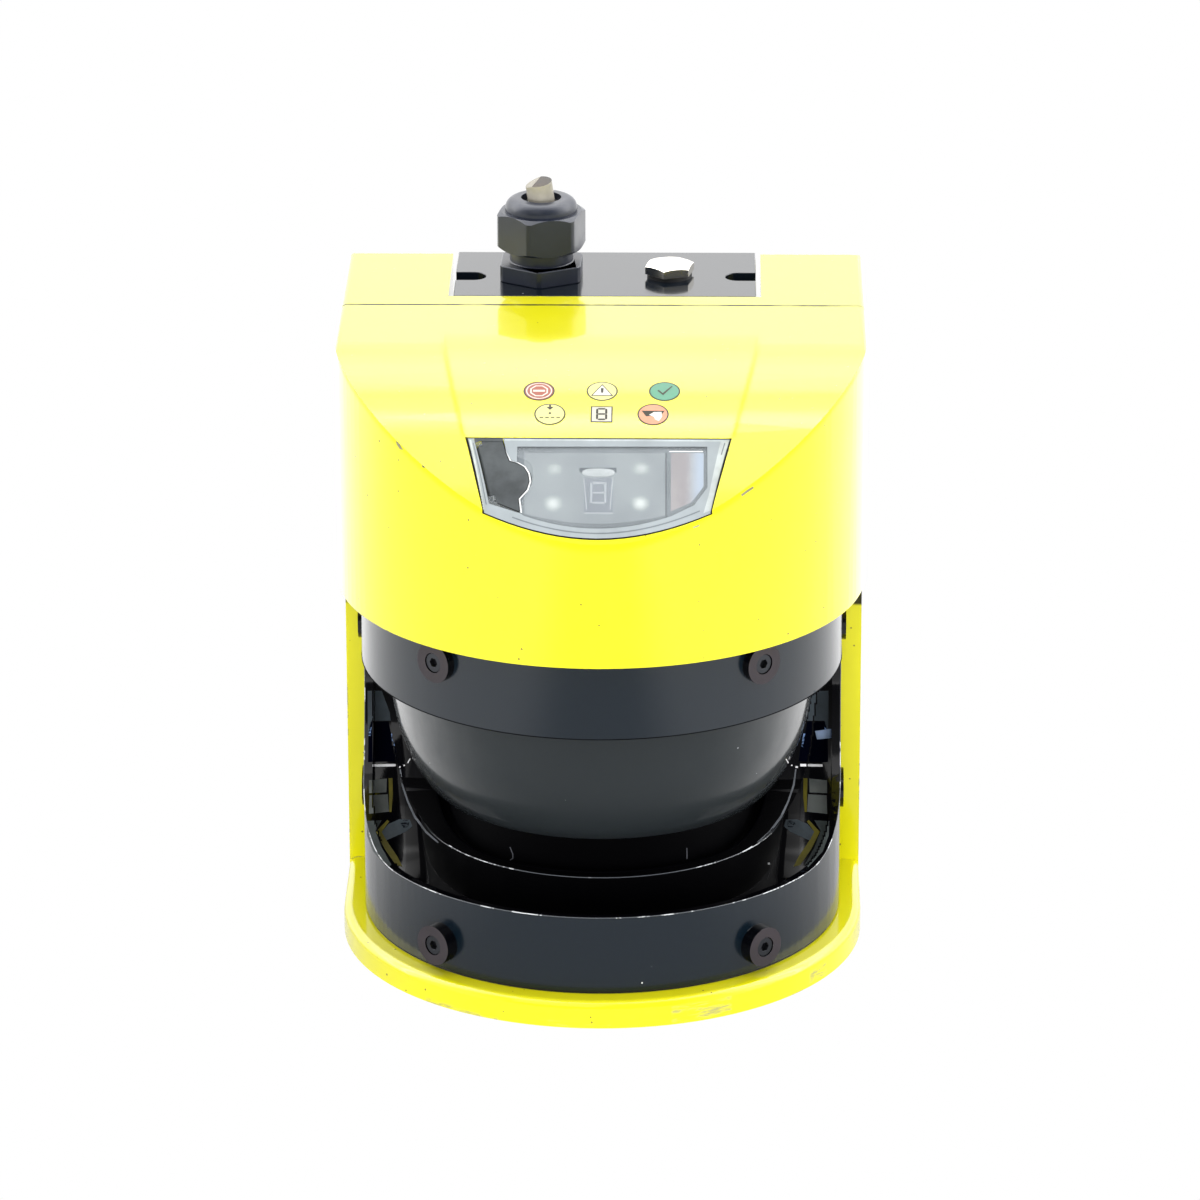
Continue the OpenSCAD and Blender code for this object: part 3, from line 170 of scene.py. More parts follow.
# ---- shared effects

def grain_group():
    """Fine unevenness of a moulded, cast or painted surface."""
    tree, given, result = new_group(
        "grain", [("Size", "Float", 0.5), ("Depth", "Float", 0.02), ("Waviness", "Float", 0.0)],
        [("Normal", "Vector"), ("Mottle", "Float")])
    vector = place(tree)
    fine = noise(tree, maths(tree, "DIVIDE", 1000.0, given["Size"]), 2.0, 0.5, vector)
    broad = noise(tree, 60.0, 2.0, 0.5, vector)
    height = plus(tree, times(tree, fine, given["Depth"]), times(tree, broad, given["Waviness"]))
    bump = add(tree, "ShaderNodeBump", {"Height": height, "Strength": 1.0, "Distance": MM})
    tree.links.new(bump.outputs["Normal"], result["Normal"])
    tree.links.new(noise(tree, 90.0, 4.0, 0.6, vector), result["Mottle"])
    return tree


def wear_group():
    """Chipped and rubbed edges: where the surface turns within Reach, in patches."""
    tree, given, result = new_group(
        "edge wear", [("Color", "Color", (0.8, 0.8, 0.8, 1)), ("Bare", "Color", (0.3, 0.3, 0.3, 1)),
                      ("Reach", "Float", 0.8 * MM), ("Patches", "Float", 0.6), ("Amount", "Float", 1.0)],
        [("Color", "Color"), ("Mask", "Float")])
    vector = place(tree)
    turned = add(tree, "ShaderNodeBevel", {"Radius": given["Reach"]}, samples=4)
    here = add(tree, "ShaderNodeNewGeometry").outputs["Normal"]
    agree = add(tree, "ShaderNodeVectorMath", {0: turned.outputs["Normal"], 1: here},
                operation="DOT_PRODUCT").outputs["Value"]
    edge = spread(tree, minus(tree, 1.0, agree), 0.01, 0.12)
    patch = times(tree, noise(tree, 110.0, 5.0, 0.7, vector), noise(tree, 23.0, 1.0, 0.5, vector), 2.0)
    patch = spread(tree, patch, given["Patches"], plus(tree, given["Patches"], 0.04))
    mask = maths(tree, "MULTIPLY", times(tree, edge, patch), given["Amount"], clamp=True)
    tree.links.new(mix(tree, mask, given["Color"], given["Bare"]), result["Color"])
    tree.links.new(mask, result["Mask"])
    return tree


def speck_group():
    """Sparse round specks: dust on black, pinholes and dirt on paint."""
    tree, given, result = new_group(
        "specks", [("Color", "Color", (0.1, 0.1, 0.1, 1)), ("Speck", "Color", (0.5, 0.5, 0.5, 1)),
                   ("Spacing", "Float", 4.0), ("Size", "Float", 0.1), ("Share", "Float", 0.3)],
        [("Color", "Color"), ("Mask", "Float")])
    cells = add(tree, "ShaderNodeTexVoronoi", {"Vector": place(tree), "Randomness": 1.0,
                                               "Scale": maths(tree, "DIVIDE", 1000.0, given["Spacing"])})
    pick = add(tree, "ShaderNodeSeparateColor", {"Color": cells.outputs["Color"]})
    radius = times(tree, given["Size"], pick.outputs["Green"])
    inside = maths(tree, "LESS_THAN", cells.outputs["Distance"], radius)
    chosen = maths(tree, "LESS_THAN", pick.outputs["Red"], given["Share"])
    mask = times(tree, inside, chosen)
    tree.links.new(mix(tree, mask, given["Color"], given["Speck"]), result["Color"])
    tree.links.new(mask, result["Mask"])
    return tree


GRAIN = grain_group()
WEAR = wear_group()
SPECKS = speck_group()


# ---- materials

def blank_material(name):
    material = bpy.data.materials.new(name)
    material.use_nodes = True
    tree = material.node_tree
    return material, tree, tree.nodes["Principled BSDF"].inputs


def plain(name, color, rough=0.4, mottle=0.12, metal=0.0, grain=0.5, depth=0.01, coat=0.0, alpha=1.0,
          specular=0.5):
    """Moulded or machined surface of one colour, with grain, mottling and uneven gloss."""
    material, tree, shader = blank_material(name)
    surface = use_group(tree, GRAIN, {"Size": grain, "Depth": depth})
    tone = spread(tree, surface["Mottle"], 0.3, 0.7, 1 - mottle, 1 + mottle)
    shade = add(tree, "ShaderNodeHueSaturation", {"Value": tone, "Color": srgb(*color)})
    feed(tree, shader, {
        "Base Color": shade.outputs["Color"],
        "Roughness": spread(tree, surface["Mottle"], 0.3, 0.7, rough * 0.85, rough * 1.15),
        "Normal": surface["Normal"], "Metallic": metal, "Coat Weight": coat, "Coat Roughness": 0.04,
        "Alpha": alpha, "Specular IOR Level": specular})
    return material


def region(tree, low, high, soft):
    """1 inside a box of the scanner, fading out over soft metres."""
    at = xyz(tree)
    sides = []
    for axis, a, b in zip("XYZ", low, high):
        sides += [spread(tree, at[axis], a - soft, a), spread(tree, at[axis], b, b + soft, 1.0, 0.0)]
    return times(tree, *sides)


def crease_shade_mask(tree):
    """Painted shade along both sides of the hood's recessed panel."""
    at = xyz(tree)
    along = maths(tree, "DIVIDE", minus(tree, NARROW_Y, at["Y"]), NARROW_Y - FRONT_Y)
    half = minus(tree, PANEL_HALF, times(tree, along, along, PANEL_NARROW))
    off = size_of(tree, minus(tree, size_of(tree, at["X"]), half))
    line = spread(tree, off, 0.1 * MM, 1.7 * MM, 1.0, 0.0)
    start = spread(tree, at["Y"], PANEL_Y - 30 * MM, PANEL_Y + 4 * MM, 0.85, 0.0)
    end = spread(tree, at["Y"], WINDOW_TOP - 2 * MM, WINDOW_TOP, 0.0, 1.0)
    upper = spread(tree, at["Z"], TOP - 45 * MM, TOP - 40 * MM)
    return times(tree, line, start, end, upper)


def brow_shade_mask(tree):
    """Painted shade just below the edge where the hood's slope meets its upright front."""
    at = xyz(tree)
    turned = xyz(tree, add(tree, "ShaderNodeNewGeometry").outputs["Normal"])
    out = length(tree, minus(tree, at["Y"], SLOPE_Y), minus(tree, at["Z"], TOP - SLOPE_R))
    strip = spread(tree, out, SLOPE_R - 2.4 * MM, SLOPE_R - 0.8 * MM, 0.0, 1.0)
    upright = spread(tree, turned["Z"], 0.5, 0.76, 1.0, 0.0)
    front = spread(tree, at["Y"], SLOPE_Y - 24 * MM, SLOPE_Y - 10 * MM, 1.0, 0.0)
    upper = spread(tree, at["Z"], TOP - 70 * MM, TOP - 60 * MM)
    return times(tree, strip, upright, front, upper)


def seam_shade_mask(tree):
    """Painted shade: a thin dark line where the hood meets the rear block."""
    at = xyz(tree)
    off = size_of(tree, minus(tree, at["Y"], SEAM_Y))
    wide = spread(tree, at["Z"], TOP - 2 * MM, TOP - MM, 0.0, 0.4 * MM)
    line = spread(tree, minus(tree, off, wide), 0.16 * MM, 0.36 * MM, 1.0, 0.0)
    # noise makes the painted shade uneven in strength along the line
    dirt = spread(tree, noise(tree, 150.0), 0.3, 0.6, 0.6, 1.0)
    above = spread(tree, at["Z"], HOOD_LOW.z, HOOD_LOW.z + MM)
    return times(tree, line, dirt, above)


# Boxes of the base's front edge that are rubbed
RUBBED = (((-0.014, -0.09, -0.01), (0.003, -0.06, 0.0012)), ((0.022, -0.09, 0.0012), (0.038, -0.04, 0.0052)),
          ((0.0625, -0.06, 0.0015), (0.066, -0.03, 0.004)), ((-0.05, -0.09, -0.01), (-0.03, -0.05, 0.0006)))
# Saturated yellow for the painted shade along the panel's sides and below the slope's edge
SHADE_YELLOW = srgb(238, 228, 6)


def yellow_paint():
    """Glossy powder coat: slight mottling, pinholes, chipped edges and the base's rubbed front edge, with
    painted shade along the panel's sides, below the slope's edge and along the seam to the rear block.
    """
    material, tree, shader = blank_material("yellow_paint")
    surface = use_group(tree, GRAIN, {"Size": 0.9, "Depth": 0.006, "Waviness": 0.02})
    tone = mix(tree, surface["Mottle"], srgb(244, 237, 16), srgb(249, 243, 28))
    dotted = use_group(tree, SPECKS, {"Color": tone, "Speck": srgb(150, 135, 30), "Spacing": 3.2,
                                      "Size": 0.11, "Share": 0.6})
    chipped = use_group(tree, WEAR, {"Color": dotted["Color"], "Bare": srgb(95, 96, 98),
                                     "Reach": 0.7 * MM, "Patches": 0.66, "Amount": 0.85})
    rubbed = functools.reduce(lambda a, b: larger(tree, a, b),
                              [region(tree, low, high, 1.2 * MM) for low, high in RUBBED])
    stretched = add(tree, "ShaderNodeMapping", {"Vector": place(tree), "Scale": (0.2, 0.6, 2.2)}).outputs[0]
    scuffs = spread(tree, noise(tree, 260.0, 8.0, 0.7, stretched), 0.42, 0.66, 0.0, 0.8)
    rubbed = times(tree, rubbed, scuffs)
    crease_shade, brow_shade, seam_shade = crease_shade_mask(tree), brow_shade_mask(tree), seam_shade_mask(tree)
    color = mix(tree, rubbed, chipped["Color"], srgb(150, 148, 132))
    # Painted shade: saturated yellow along the panel's sides and below the slope's edge, dark olive along the
    # seam, with less coat there
    color = mix(tree, crease_shade, color, SHADE_YELLOW)
    color = mix(tree, times(tree, brow_shade, 0.7), color, SHADE_YELLOW)
    color = mix(tree, seam_shade, color, srgb(60, 58, 34))
    dull = larger(tree, times(tree, crease_shade, 0.75), seam_shade)
    dull = larger(tree, dull, times(tree, brow_shade, 0.65))
    edge_marks = larger(tree, rubbed, chipped["Mask"])
    feed(tree, shader, {
        "Base Color": color, "Roughness": spread(tree, edge_marks, 0.0, 1.0, 0.3, 0.6), "Normal": surface["Normal"],
        "Coat Weight": times(tree, minus(tree, 1.0, dull), 0.8), "Coat Roughness": 0.07, "Coat IOR": 1.5,
        "Specular IOR Level": 0.1})
    return material


def black_moulding(name, color, rough, coat=0.0, dust=0.25, edge=0.4, specular=0.4, rim=0.0):
    """Black plastic with dust specks and edges rubbed paler; rim is a coat that shows where it turns away."""
    material, tree, shader = blank_material(name)
    surface = use_group(tree, GRAIN, {"Size": 0.7, "Depth": 0.004, "Waviness": 0.01})
    dusty = use_group(tree, SPECKS, {"Color": srgb(*color), "Speck": srgb(150, 155, 160), "Spacing": 5.0,
                                     "Size": 0.06, "Share": dust})
    edge_marks = use_group(tree, WEAR, {"Color": dusty["Color"], "Bare": srgb(120, 125, 130),
                                  "Reach": 0.35 * MM, "Patches": 0.72, "Amount": edge})
    if rim:
        facing = add(tree, "ShaderNodeLayerWeight", {"Blend": 0.5}).outputs["Facing"]
        coat = spread(tree, facing, 0.25, 0.75, 0.0, rim)
    feed(tree, shader, {
        "Base Color": edge_marks["Color"], "Normal": surface["Normal"], "Specular IOR Level": specular,
        "Roughness": spread(tree, surface["Mottle"], 0.3, 0.7, rough * 0.9, rough * 1.1),
        "Coat Weight": coat, "Coat Roughness": 0.12 if rim else 0.03})
    return material


PAINT = yellow_paint()
COVER_SATIN = black_moulding("cover_satin", (38, 43, 46), 0.5, specular=0.25, rim=1.0)
COVER_BAND = black_moulding("cover_band", (12, 24, 34), 0.18, dust=0.12)
COVER_GLOSS = black_moulding("cover_gloss", (5, 5, 8), 0.06, dust=0.5, edge=0.7)
# Near-black with almost no reflection: painted shade for the cover's deep channel
COVER_CHANNEL_SHADE = black_moulding("cover_deep", (2, 2, 3), 0.5, dust=0.0, edge=0.0, specular=0.03)
BOSS_FACE = plain("boss_face", (55, 50, 54), 0.5, grain=0.3, specular=0.2)
SCREW_DARK = plain("screw_dark", (48, 50, 54), 0.32, metal=0.8, grain=0.3)
PLUG_BLACK = black_moulding("plug_black", (20, 27, 36), 0.16, coat=0.34, dust=0.3, specular=0.24)
# Black moulding; its blue tint is a painted sheen of the dome
GLAND_BLACK = plain("gland_black", (30, 35, 48), 0.34, grain=0.35, depth=0.006, coat=0.06,
                    specular=0.35)
NICKEL = plain("nickel", (222, 218, 208), 0.16, mottle=0.06, metal=1.0, grain=0.4, depth=0.003)
RUBBER = plain("rubber_black", (22, 22, 23), 0.7, grain=0.3, depth=0.02)
STEEL = plain("zinc_steel", (190, 191, 194), 0.3, metal=1.0, grain=0.4)
ALUMINIUM = plain("machined_aluminium", (200, 202, 205), 0.32, metal=1.0, grain=0.25)
BLACK_METAL = plain("black_anodised", (34, 34, 36), 0.45, metal=0.3, grain=0.3)
DARK_PLASTIC = plain("dark_plastic", (36, 36, 38), 0.45, grain=0.4, depth=0.01)
BRASS = plain("brass", (205, 170, 95), 0.28, metal=1.0)
COPPER = plain("copper_windings", (190, 110, 60), 0.35, metal=1.0, grain=0.6, depth=0.05)
MAGNET = plain("ground_magnet", (90, 90, 96), 0.35, metal=0.9)
BOARD = plain("circuit_board", (24, 92, 52), 0.4, mottle=0.25, grain=1.5, depth=0.02)
CHIP = plain("chip_black", (30, 30, 32), 0.5, grain=0.3)
IVORY = plain("ivory_plastic", (215, 208, 182), 0.45)
MIRROR = plain("front_mirror", (240, 240, 238), 0.02, mottle=0.01, metal=1.0, depth=0.0)
LENS = plain("coated_lens", (150, 110, 125), 0.04, alpha=0.45, coat=1.0, depth=0.0)
CABLE_END = plain("cable_end", (66, 58, 50), 0.7, mottle=0.9, grain=1.2)
CABLE_GREY = plain("cable_jacket", (168, 163, 150), 0.6, mottle=0.2, grain=0.5, depth=0.02)
TRAY_GREY = plain("tray_grey", (190, 199, 203), 0.4, mottle=0.06, grain=0.4)
CLEAR = plain("clear_window", (200, 208, 212), 0.1, mottle=0.03, alpha=0.16, depth=0.0, specular=0.35)
SMOKED = plain("smoked_flap", (80, 84, 86), 0.4, mottle=0.3, grain=0.5, specular=0.08)
LAMP_WHITE = plain("lamp_white", (240, 243, 245), 0.3, mottle=0.02)
DIGIT_GREY = plain("digit_grey", (128, 136, 146), 0.35, mottle=0.05)
DOME_GREY = plain("lamp_dome", (200, 206, 208), 0.5, mottle=0.3, grain=0.8, depth=0.05, specular=0.1)
SEGMENT_GREY = plain("segment_grey", (178, 184, 190), 0.4, mottle=0.05, specular=0.1)
MODULE_GREY = plain("module_grey", (140, 146, 154), 0.4, mottle=0.1, specular=0.1)
FRAME_LIGHT = plain("frame_light", (168, 176, 180), 0.5, mottle=0.08, specular=0.07)
FRAME_DARK = plain("frame_dark", (126, 133, 138), 0.4, mottle=0.12, specular=0.1)
GROOVE_GREY = plain("groove_grey", (96, 102, 108), 0.5, mottle=0.15, specular=0.07)
# Black for painted shade in the gaps round the display and the flap
GAP_SHADE = plain("gap_black", (30, 30, 28), 0.6, mottle=0.2, specular=0.04)
PRINT_DARK = plain("print_dark", (46, 43, 32), 0.5, specular=0.2)
PRINT_RED, PRINT_SALMON, PRINT_WHITE, PRINT_YELLOW, PRINT_GREEN, PRINT_GREY = (
    plain("print_" + name, color, 0.45, mottle=mottle, specular=0.35) for name, color, mottle in (
        ("red", (152, 82, 62), 0.12), ("salmon", (226, 158, 126), 0.12), ("white", (236, 232, 222), 0.03),
        ("yellow", (238, 232, 150), 0.03), ("green", (88, 150, 122), 0.12), ("grey", (216, 212, 196), 0.03)))


# ---- CAD pieces, finished

def new_object(name, data):
    made = bpy.data.objects.new(name, data)
    bpy.context.scene.collection.objects.link(made)
    return made


def bake_modifiers(made):
    depsgraph = bpy.context.evaluated_depsgraph_get()
    depsgraph.update()
    baked = bpy.data.meshes.new_from_object(made.evaluated_get(depsgraph), depsgraph=depsgraph)
    baked.name = made.name
    made.modifiers.clear()
    made.data = baked


def dressed(node, body, material, edge=0.0, extra=(), choose=None):
    """Smooth-shaded stand-in for a CAD node, with rounded edges; choose gives a face its material."""
    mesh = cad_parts[node].data.copy()
    mesh.name = "look_" + node
    work = bmesh.new()
    work.from_mesh(mesh)
    bmesh.ops.remove_doubles(work, verts=work.verts, dist=2e-6)
    bmesh.ops.dissolve_limit(work, angle_limit=math.radians(0.6), verts=work.verts, edges=work.edges,
                             delimit=set())
    work.to_mesh(mesh)
    work.free()
    mesh.materials.clear()
    for m in (material, *extra):
        mesh.materials.append(m)
    for polygon in mesh.polygons:
        polygon.use_smooth = True
        polygon.material_index = choose(polygon) if choose else 0
    mesh.set_sharp_from_angle(angle=SMOOTH)
    made = new_object("look_" + node, mesh)
    if edge:
        bevel = made.modifiers.new("rounded edges", "BEVEL")
        bevel.width = edge
        bevel.segments = 2
        bevel.limit_method = "ANGLE"
        bevel.angle_limit = SMOOTH
        bevel.use_clamp_overlap = True
        bevel.harden_normals = False
        bevel.miter_outer = "MITER_ARC"
    weighted = made.modifiers.new("flat faces stay flat", "WEIGHTED_NORMAL")
    weighted.keep_sharp = True
    weighted.weight = 80
    bake_modifiers(made)
    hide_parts(node)
    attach(made, body)
    return made


def trim(made, height, lean):
    """Cuts a piece off above a height, on a slant, and closes it with a face in its second finish."""
    work = bmesh.new()
    work.from_mesh(made.data)
    top = max(work.verts, key=lambda v: v.co.z).co
    cut = bmesh.ops.bisect_plane(work, geom=work.verts[:] + work.edges[:] + work.faces[:], dist=1e-7,
                                 plane_co=(top.x, top.y, height), plane_no=lean, clear_outer=True)
    rim = [e for e in cut["geom_cut"] if isinstance(e, bmesh.types.BMEdge)]
    for face in bmesh.ops.contextual_create(work, geom=rim)["faces"]:
        face.material_index = 1
        face.smooth = False
    work.to_mesh(made.data)
    work.free()


def off_middle(at):
    """Distance of a place from the cover's middle line, round its front or straight along its sides."""
    return math.hypot(at.x, at.y - AXIS_Y) if at.y < AXIS_Y else abs(at.x)


def facing_out(polygon):
    c = polygon.center
    if c.y > AXIS_Y:
        return abs(polygon.normal.x)
    return polygon.normal.dot(Vector((c.x, c.y - AXIS_Y, 0)).normalized())


def cover_finish(polygon):
    """0 satin window and band, 1 outer band and posts, 2 gloss, 3 boss faces, 4 the deep channel, in
    near-black without reflection as painted shade.
    """
    c, normal = polygon.center, polygon.normal
    out = off_middle(c)
    if out > RIM_R + 1.2 * MM and normal.z < 0.3 and facing_out(polygon) > 0.95:
        return 3
    if out > RIM_R + 0.3 * MM:
        return 2
    if c.z > BAND_Z - 0.2 * MM and out > RIM_R - 0.4 * MM:
        return 1
    on_window = out < 64.4 * MM and facing_out(polygon) > 0.4 and normal.z < 0.05
    if c.z > WINDOW_Z + 0.3 * MM and c.y < SEAM_Y - 2 * MM and on_window:
        return 0
    if out > RIM_R - 0.3 * MM:
        return 1
    if out < 56 * MM and c.z < WINDOW_Z + MM and c.y < AXIS_Y:
        return 4
    return 2


# Nodes with a stand-in, its main finish and the radius of its rounded edges in millimetres
DRESSED = (
    ("housing", PAINT, 0.5), ("hood", PAINT, 0.4), ("optics_cover", COVER_SATIN, 0.35),
    ("system_plug", PLUG_BLACK, 0.3), ("plug_base", DARK_PLASTIC, 0), ("cover_screws", SCREW_DARK, 0.15),
    ("gland_body", GLAND_BLACK, 0.3), ("gland_nut", GLAND_BLACK, 0.7), ("gland_seal", RUBBER, 0),
    ("cable_stub", CABLE_GREY, 0.2), ("blanking_plug", NICKEL, 0.25), ("blanking_seal", RUBBER, 0),
    ("plug_screws", STEEL, 0.2), ("display_window", CLEAR, 0.15), ("display_tray", TRAY_GREY, 0.2),
    ("connector_flap", SMOKED, 0.2), ("digit_display", DIGIT_GREY, 0.2), ("status_leds", LAMP_WHITE, 0),
    ("light_guide", LAMP_WHITE, 0.2))
MORE = {"optics_cover": {"extra": (COVER_BAND, COVER_GLOSS, BOSS_FACE, COVER_CHANNEL_SHADE), "choose": cover_finish},
        "cable_stub": {"extra": (CABLE_END,)}}
for node, finish, edge in DRESSED:
    body = "flap" if node == "connector_flap" else "scanner"
    made = dressed(node, body, finish, edge * MM, **MORE.get(node, {}))
    if node == "cable_stub":
        trim(made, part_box(node)[1].z - 1.3 * MM, (-0.12, -0.1, 1))

FINISHES = {
    RUBBER: ["cover_seal"],
    STEEL: ["hood_screws", "optics_screws", "motor_bearings", "motor_shaft"],
    BOARD: ["display_board", "receiver_board", "window_sensors", "main_board"],
    CHIP: ["board_parts"],
    DARK_PLASTIC: ["service_connector", "plug_socket", "encoder_fork", "gland_locknut"],
    IVORY: ["plug_connector"],
    ALUMINIUM: ["motor_plate", "motor_can", "encoder_disc", "mirror_carrier"],
    COPPER: ["motor_stator"],
    MAGNET: ["rotor_magnet"],
    MIRROR: ["scan_mirror"],
    BLACK_METAL: ["optics_frame", "lens_ring"],
    LENS: ["receiver_lens"],
    BRASS: ["laser_module"],
}
for finish, nodes in FINISHES.items():
    for node in nodes:
        for material_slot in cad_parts[node].material_slots:
            material_slot.material = finish


# ---- fine pieces of the display and panel

def panel_at(x, y, lift=0.0):
    """Point over the panel's surface, at a place in plan."""
    r = PANEL_R + lift
    return Vector((x, y, TOP - PANEL_R + math.sqrt(r * r - (PANEL_Y - y) ** 2)))


def down_slope(drop):
    """Depth in plan of a place that lies so far down the panel's slope."""
    return PANEL_Y - PANEL_R * math.sin(drop / PANEL_R)


def finish_piece(mesh, name, material, body):
    mesh.materials.clear()
    mesh.materials.append(material)
    made = new_object(name, mesh)
    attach(made, body)
    return made


SKIN_STEP = 0.7 * MM


def cut_across(work, step, axes, dist):
    """Cuts a flat sheet at even steps along its axes, so that it can bend."""
    for axis in axes:
        low, high = min(v.co[axis] for v in work.verts), max(v.co[axis] for v in work.verts)
        for k in range(1, math.ceil((high - low) / step)):
            at, along = [0, 0, 0], [0, 0, 0]
            at[axis], along[axis] = low + step * k, 1
            bmesh.ops.bisect_plane(work, geom=work.verts[:] + work.edges[:] + work.faces[:], dist=dist,
                                   plane_co=at, plane_no=along)


def flat_sheet(loops, use_beauty):
    """Flat sheet inside the first loop and outside the others."""
    work = bmesh.new()
    edges = []
    for loop in loops:
        corners = [work.verts.new((x, y, 0)) for x, y in loop]
        edges += [work.edges.new(pair) for pair in zip(corners, corners[1:] + corners[:1])]
    bmesh.ops.triangle_fill(work, edges=edges, use_beauty=use_beauty, use_dissolve=False, normal=(0, 0, 1))
    return work


def skin(name, outline, lift, material, holes=(), body="scanner"):
    """Thin sheet with an outline in plan, bent to follow the panel at a lift above it."""
    work = flat_sheet((outline, *holes), False)
    cut_across(work, SKIN_STEP, (1,), 1e-8)
    for v in work.verts:
        v.co = panel_at(v.co.x, v.co.y, lift)
    bmesh.ops.recalc_face_normals(work, faces=work.faces[:])
    for face in work.faces:
        face.smooth = True
        if face.normal.z < 0:
            face.normal_flip()
    mesh = bpy.data.meshes.new(name)
    work.to_mesh(mesh)
    work.free()
    return finish_piece(mesh, name, material, body)


def ring_of(cx, drop, r, n=40, start=0.0):
    """Outline in plan of a circle or polygon drawn on the slope, with its radius in millimetres."""
    turns = [start + 2 * math.pi * k / n for k in range(n)]
    return [(cx + r * MM * math.cos(t), down_slope(drop - r * MM * math.sin(t))) for t in turns]


def drawn(points, cx, drop):
    """Outline in plan of a figure given in millimetres, with Y up the slope."""
    return [(cx + x * MM, down_slope(drop - y * MM)) for x, y in points]


def bow(low, curve, x0, x1):
    """Points in millimetres of a shallow front curve, lowest in the middle."""
    count = 18
    steps = [x0 + (x1 - x0) * k / count for k in range(count + 1)]
    return [(x, low + x * x / curve) for x in steps]


def sized(points):
    return [(x * MM, y * MM) for x, y in points]


def ribbon(points, width):
    """Outline in plan of a line of a width, through points in millimetres."""
    sides = ([], [])
    for k, here in enumerate(points):
        before, after = points[max(k - 1, 0)], points[min(k + 1, len(points) - 1)]
        way = Vector((after[0] - before[0], after[1] - before[1])).normalized() * width / 2
        sides[0].append((here[0] - way.y, here[1] + way.x))
        sides[1].append((here[0] + way.y, here[1] - way.x))
    return sized(sides[0] + sides[1][::-1])


def oval_dome(name, centre, size, lift, rise, material):
    """Low oval lens on the slope, with its size and place in millimetres in plan."""
    rings, turns = 8, 40
    points = [panel_at(centre[0] * MM, centre[1] * MM, lift + rise)]
    for ring in range(1, rings + 1):
        part = ring / rings
        for k in range(turns):
            way = 2 * math.pi * k / turns
            across = abs(math.cos(way)) ** 0.6 * math.copysign(part, math.cos(way))
            points.append(panel_at((centre[0] + size[0] * across) * MM,
                                   (centre[1] + size[1] * part * math.sin(way)) * MM,
                                   lift + rise * (1 - part ** 3)))
    faces = [(0, 1 + k, 1 + (k + 1) % turns) for k in range(turns)]
    for ring in range(rings - 1):
        a, b = 1 + ring * turns, 1 + (ring + 1) * turns
        faces += [(a + k, b + k, b + (k + 1) % turns, a + (k + 1) % turns) for k in range(turns)]
    mesh = bpy.data.meshes.new(name)
    mesh.from_pydata(points, [], faces)
    mesh.shade_smooth()
    return finish_piece(mesh, name, material, "scanner")


def window_loop(inset):
    """Outline of the display's border, drawn in by an inset."""
    reach = 32.4 - inset
    return sized([(-37.8 + inset * 1.3, -51.6 - inset), (38.1 - inset * 1.3, -51.7 - inset),
                  *bow(-79.0 + inset, 178.6, reach, -reach)])


# Middles of the lamps' glows in millimetres in plan, and their strength
GLOWS = ((-12.3, -60.5, 0.48), (12.3, -60.4, 0.6), (-12.6, -69.9, 0.8), (12.1, -69.8, 0.88))


def diffuser_material():
    """Frosted grey sheet with the soft glow of four lamps behind it, painted into its colour."""
    material, tree, shader = blank_material("frosted_sheet")
    surface = use_group(tree, GRAIN, {"Size": 0.6, "Depth": 0.004})
    at = xyz(tree)
    spots = []
    for x, y, strength in GLOWS:
        dx = minus(tree, at["X"], x * MM)
        dy = times(tree, minus(tree, at["Y"], y * MM), 1.3)
        near = spread(tree, length(tree, dx, dy), 0.0, 3.6 * MM, strength, 0.0)
        spots.append(maths(tree, "POWER", near, 1.4))
    glow = functools.reduce(lambda a, b: larger(tree, a, b), spots)
    tone = mix(tree, spread(tree, surface["Mottle"], 0.3, 0.7), srgb(146, 153, 157), srgb(158, 165, 168))
    feed(tree, shader, {"Base Color": mix(tree, glow, tone, srgb(236, 242, 238)), "Normal": surface["Normal"],
                        "Roughness": 0.6, "Specular IOR Level": 0.05})
    return material


def lens_cover_material():
    """Tinted cover over the right-hand compartment: pinkish grey, turning pale blue at the right."""
    material, tree, shader = blank_material("tinted_compartment")
    at = xyz(tree)
    across = spread(tree, at["X"], 24.5 * MM, 29.5 * MM)
    blotch = spread(tree, noise(tree, 160.0), 0.35, 0.65)
    left = mix(tree, blotch, srgb(158, 152, 154), srgb(172, 166, 166))
    feed(tree, shader, {"Base Color": mix(tree, across, left, srgb(184, 198, 214)),
                        "Roughness": 0.35, "Specular IOR Level": 0.07})
    return material


FROSTED = diffuser_material()
COMPARTMENT = lens_cover_material()
WINDOW_GAP = 0.34           # width of the gap round the display, drawn as a line of painted shade, in millimetres
FLAP_SIDE = [(-26.2, -56.4), (-25.2, -58.9), (-22.9, -59.6), (-21.0, -60.7), (-19.8, -62.6), (-19.4, -64.8),
             (-20.1, -67.0), (-21.4, -68.3), (-22.4, -69.4)]


def skins(rows):
    """Sheets, each with its outline and its lift in millimetres."""
    for name, outline, lift, material, node in rows:
        skin(name, sized(outline), lift * MM, material)


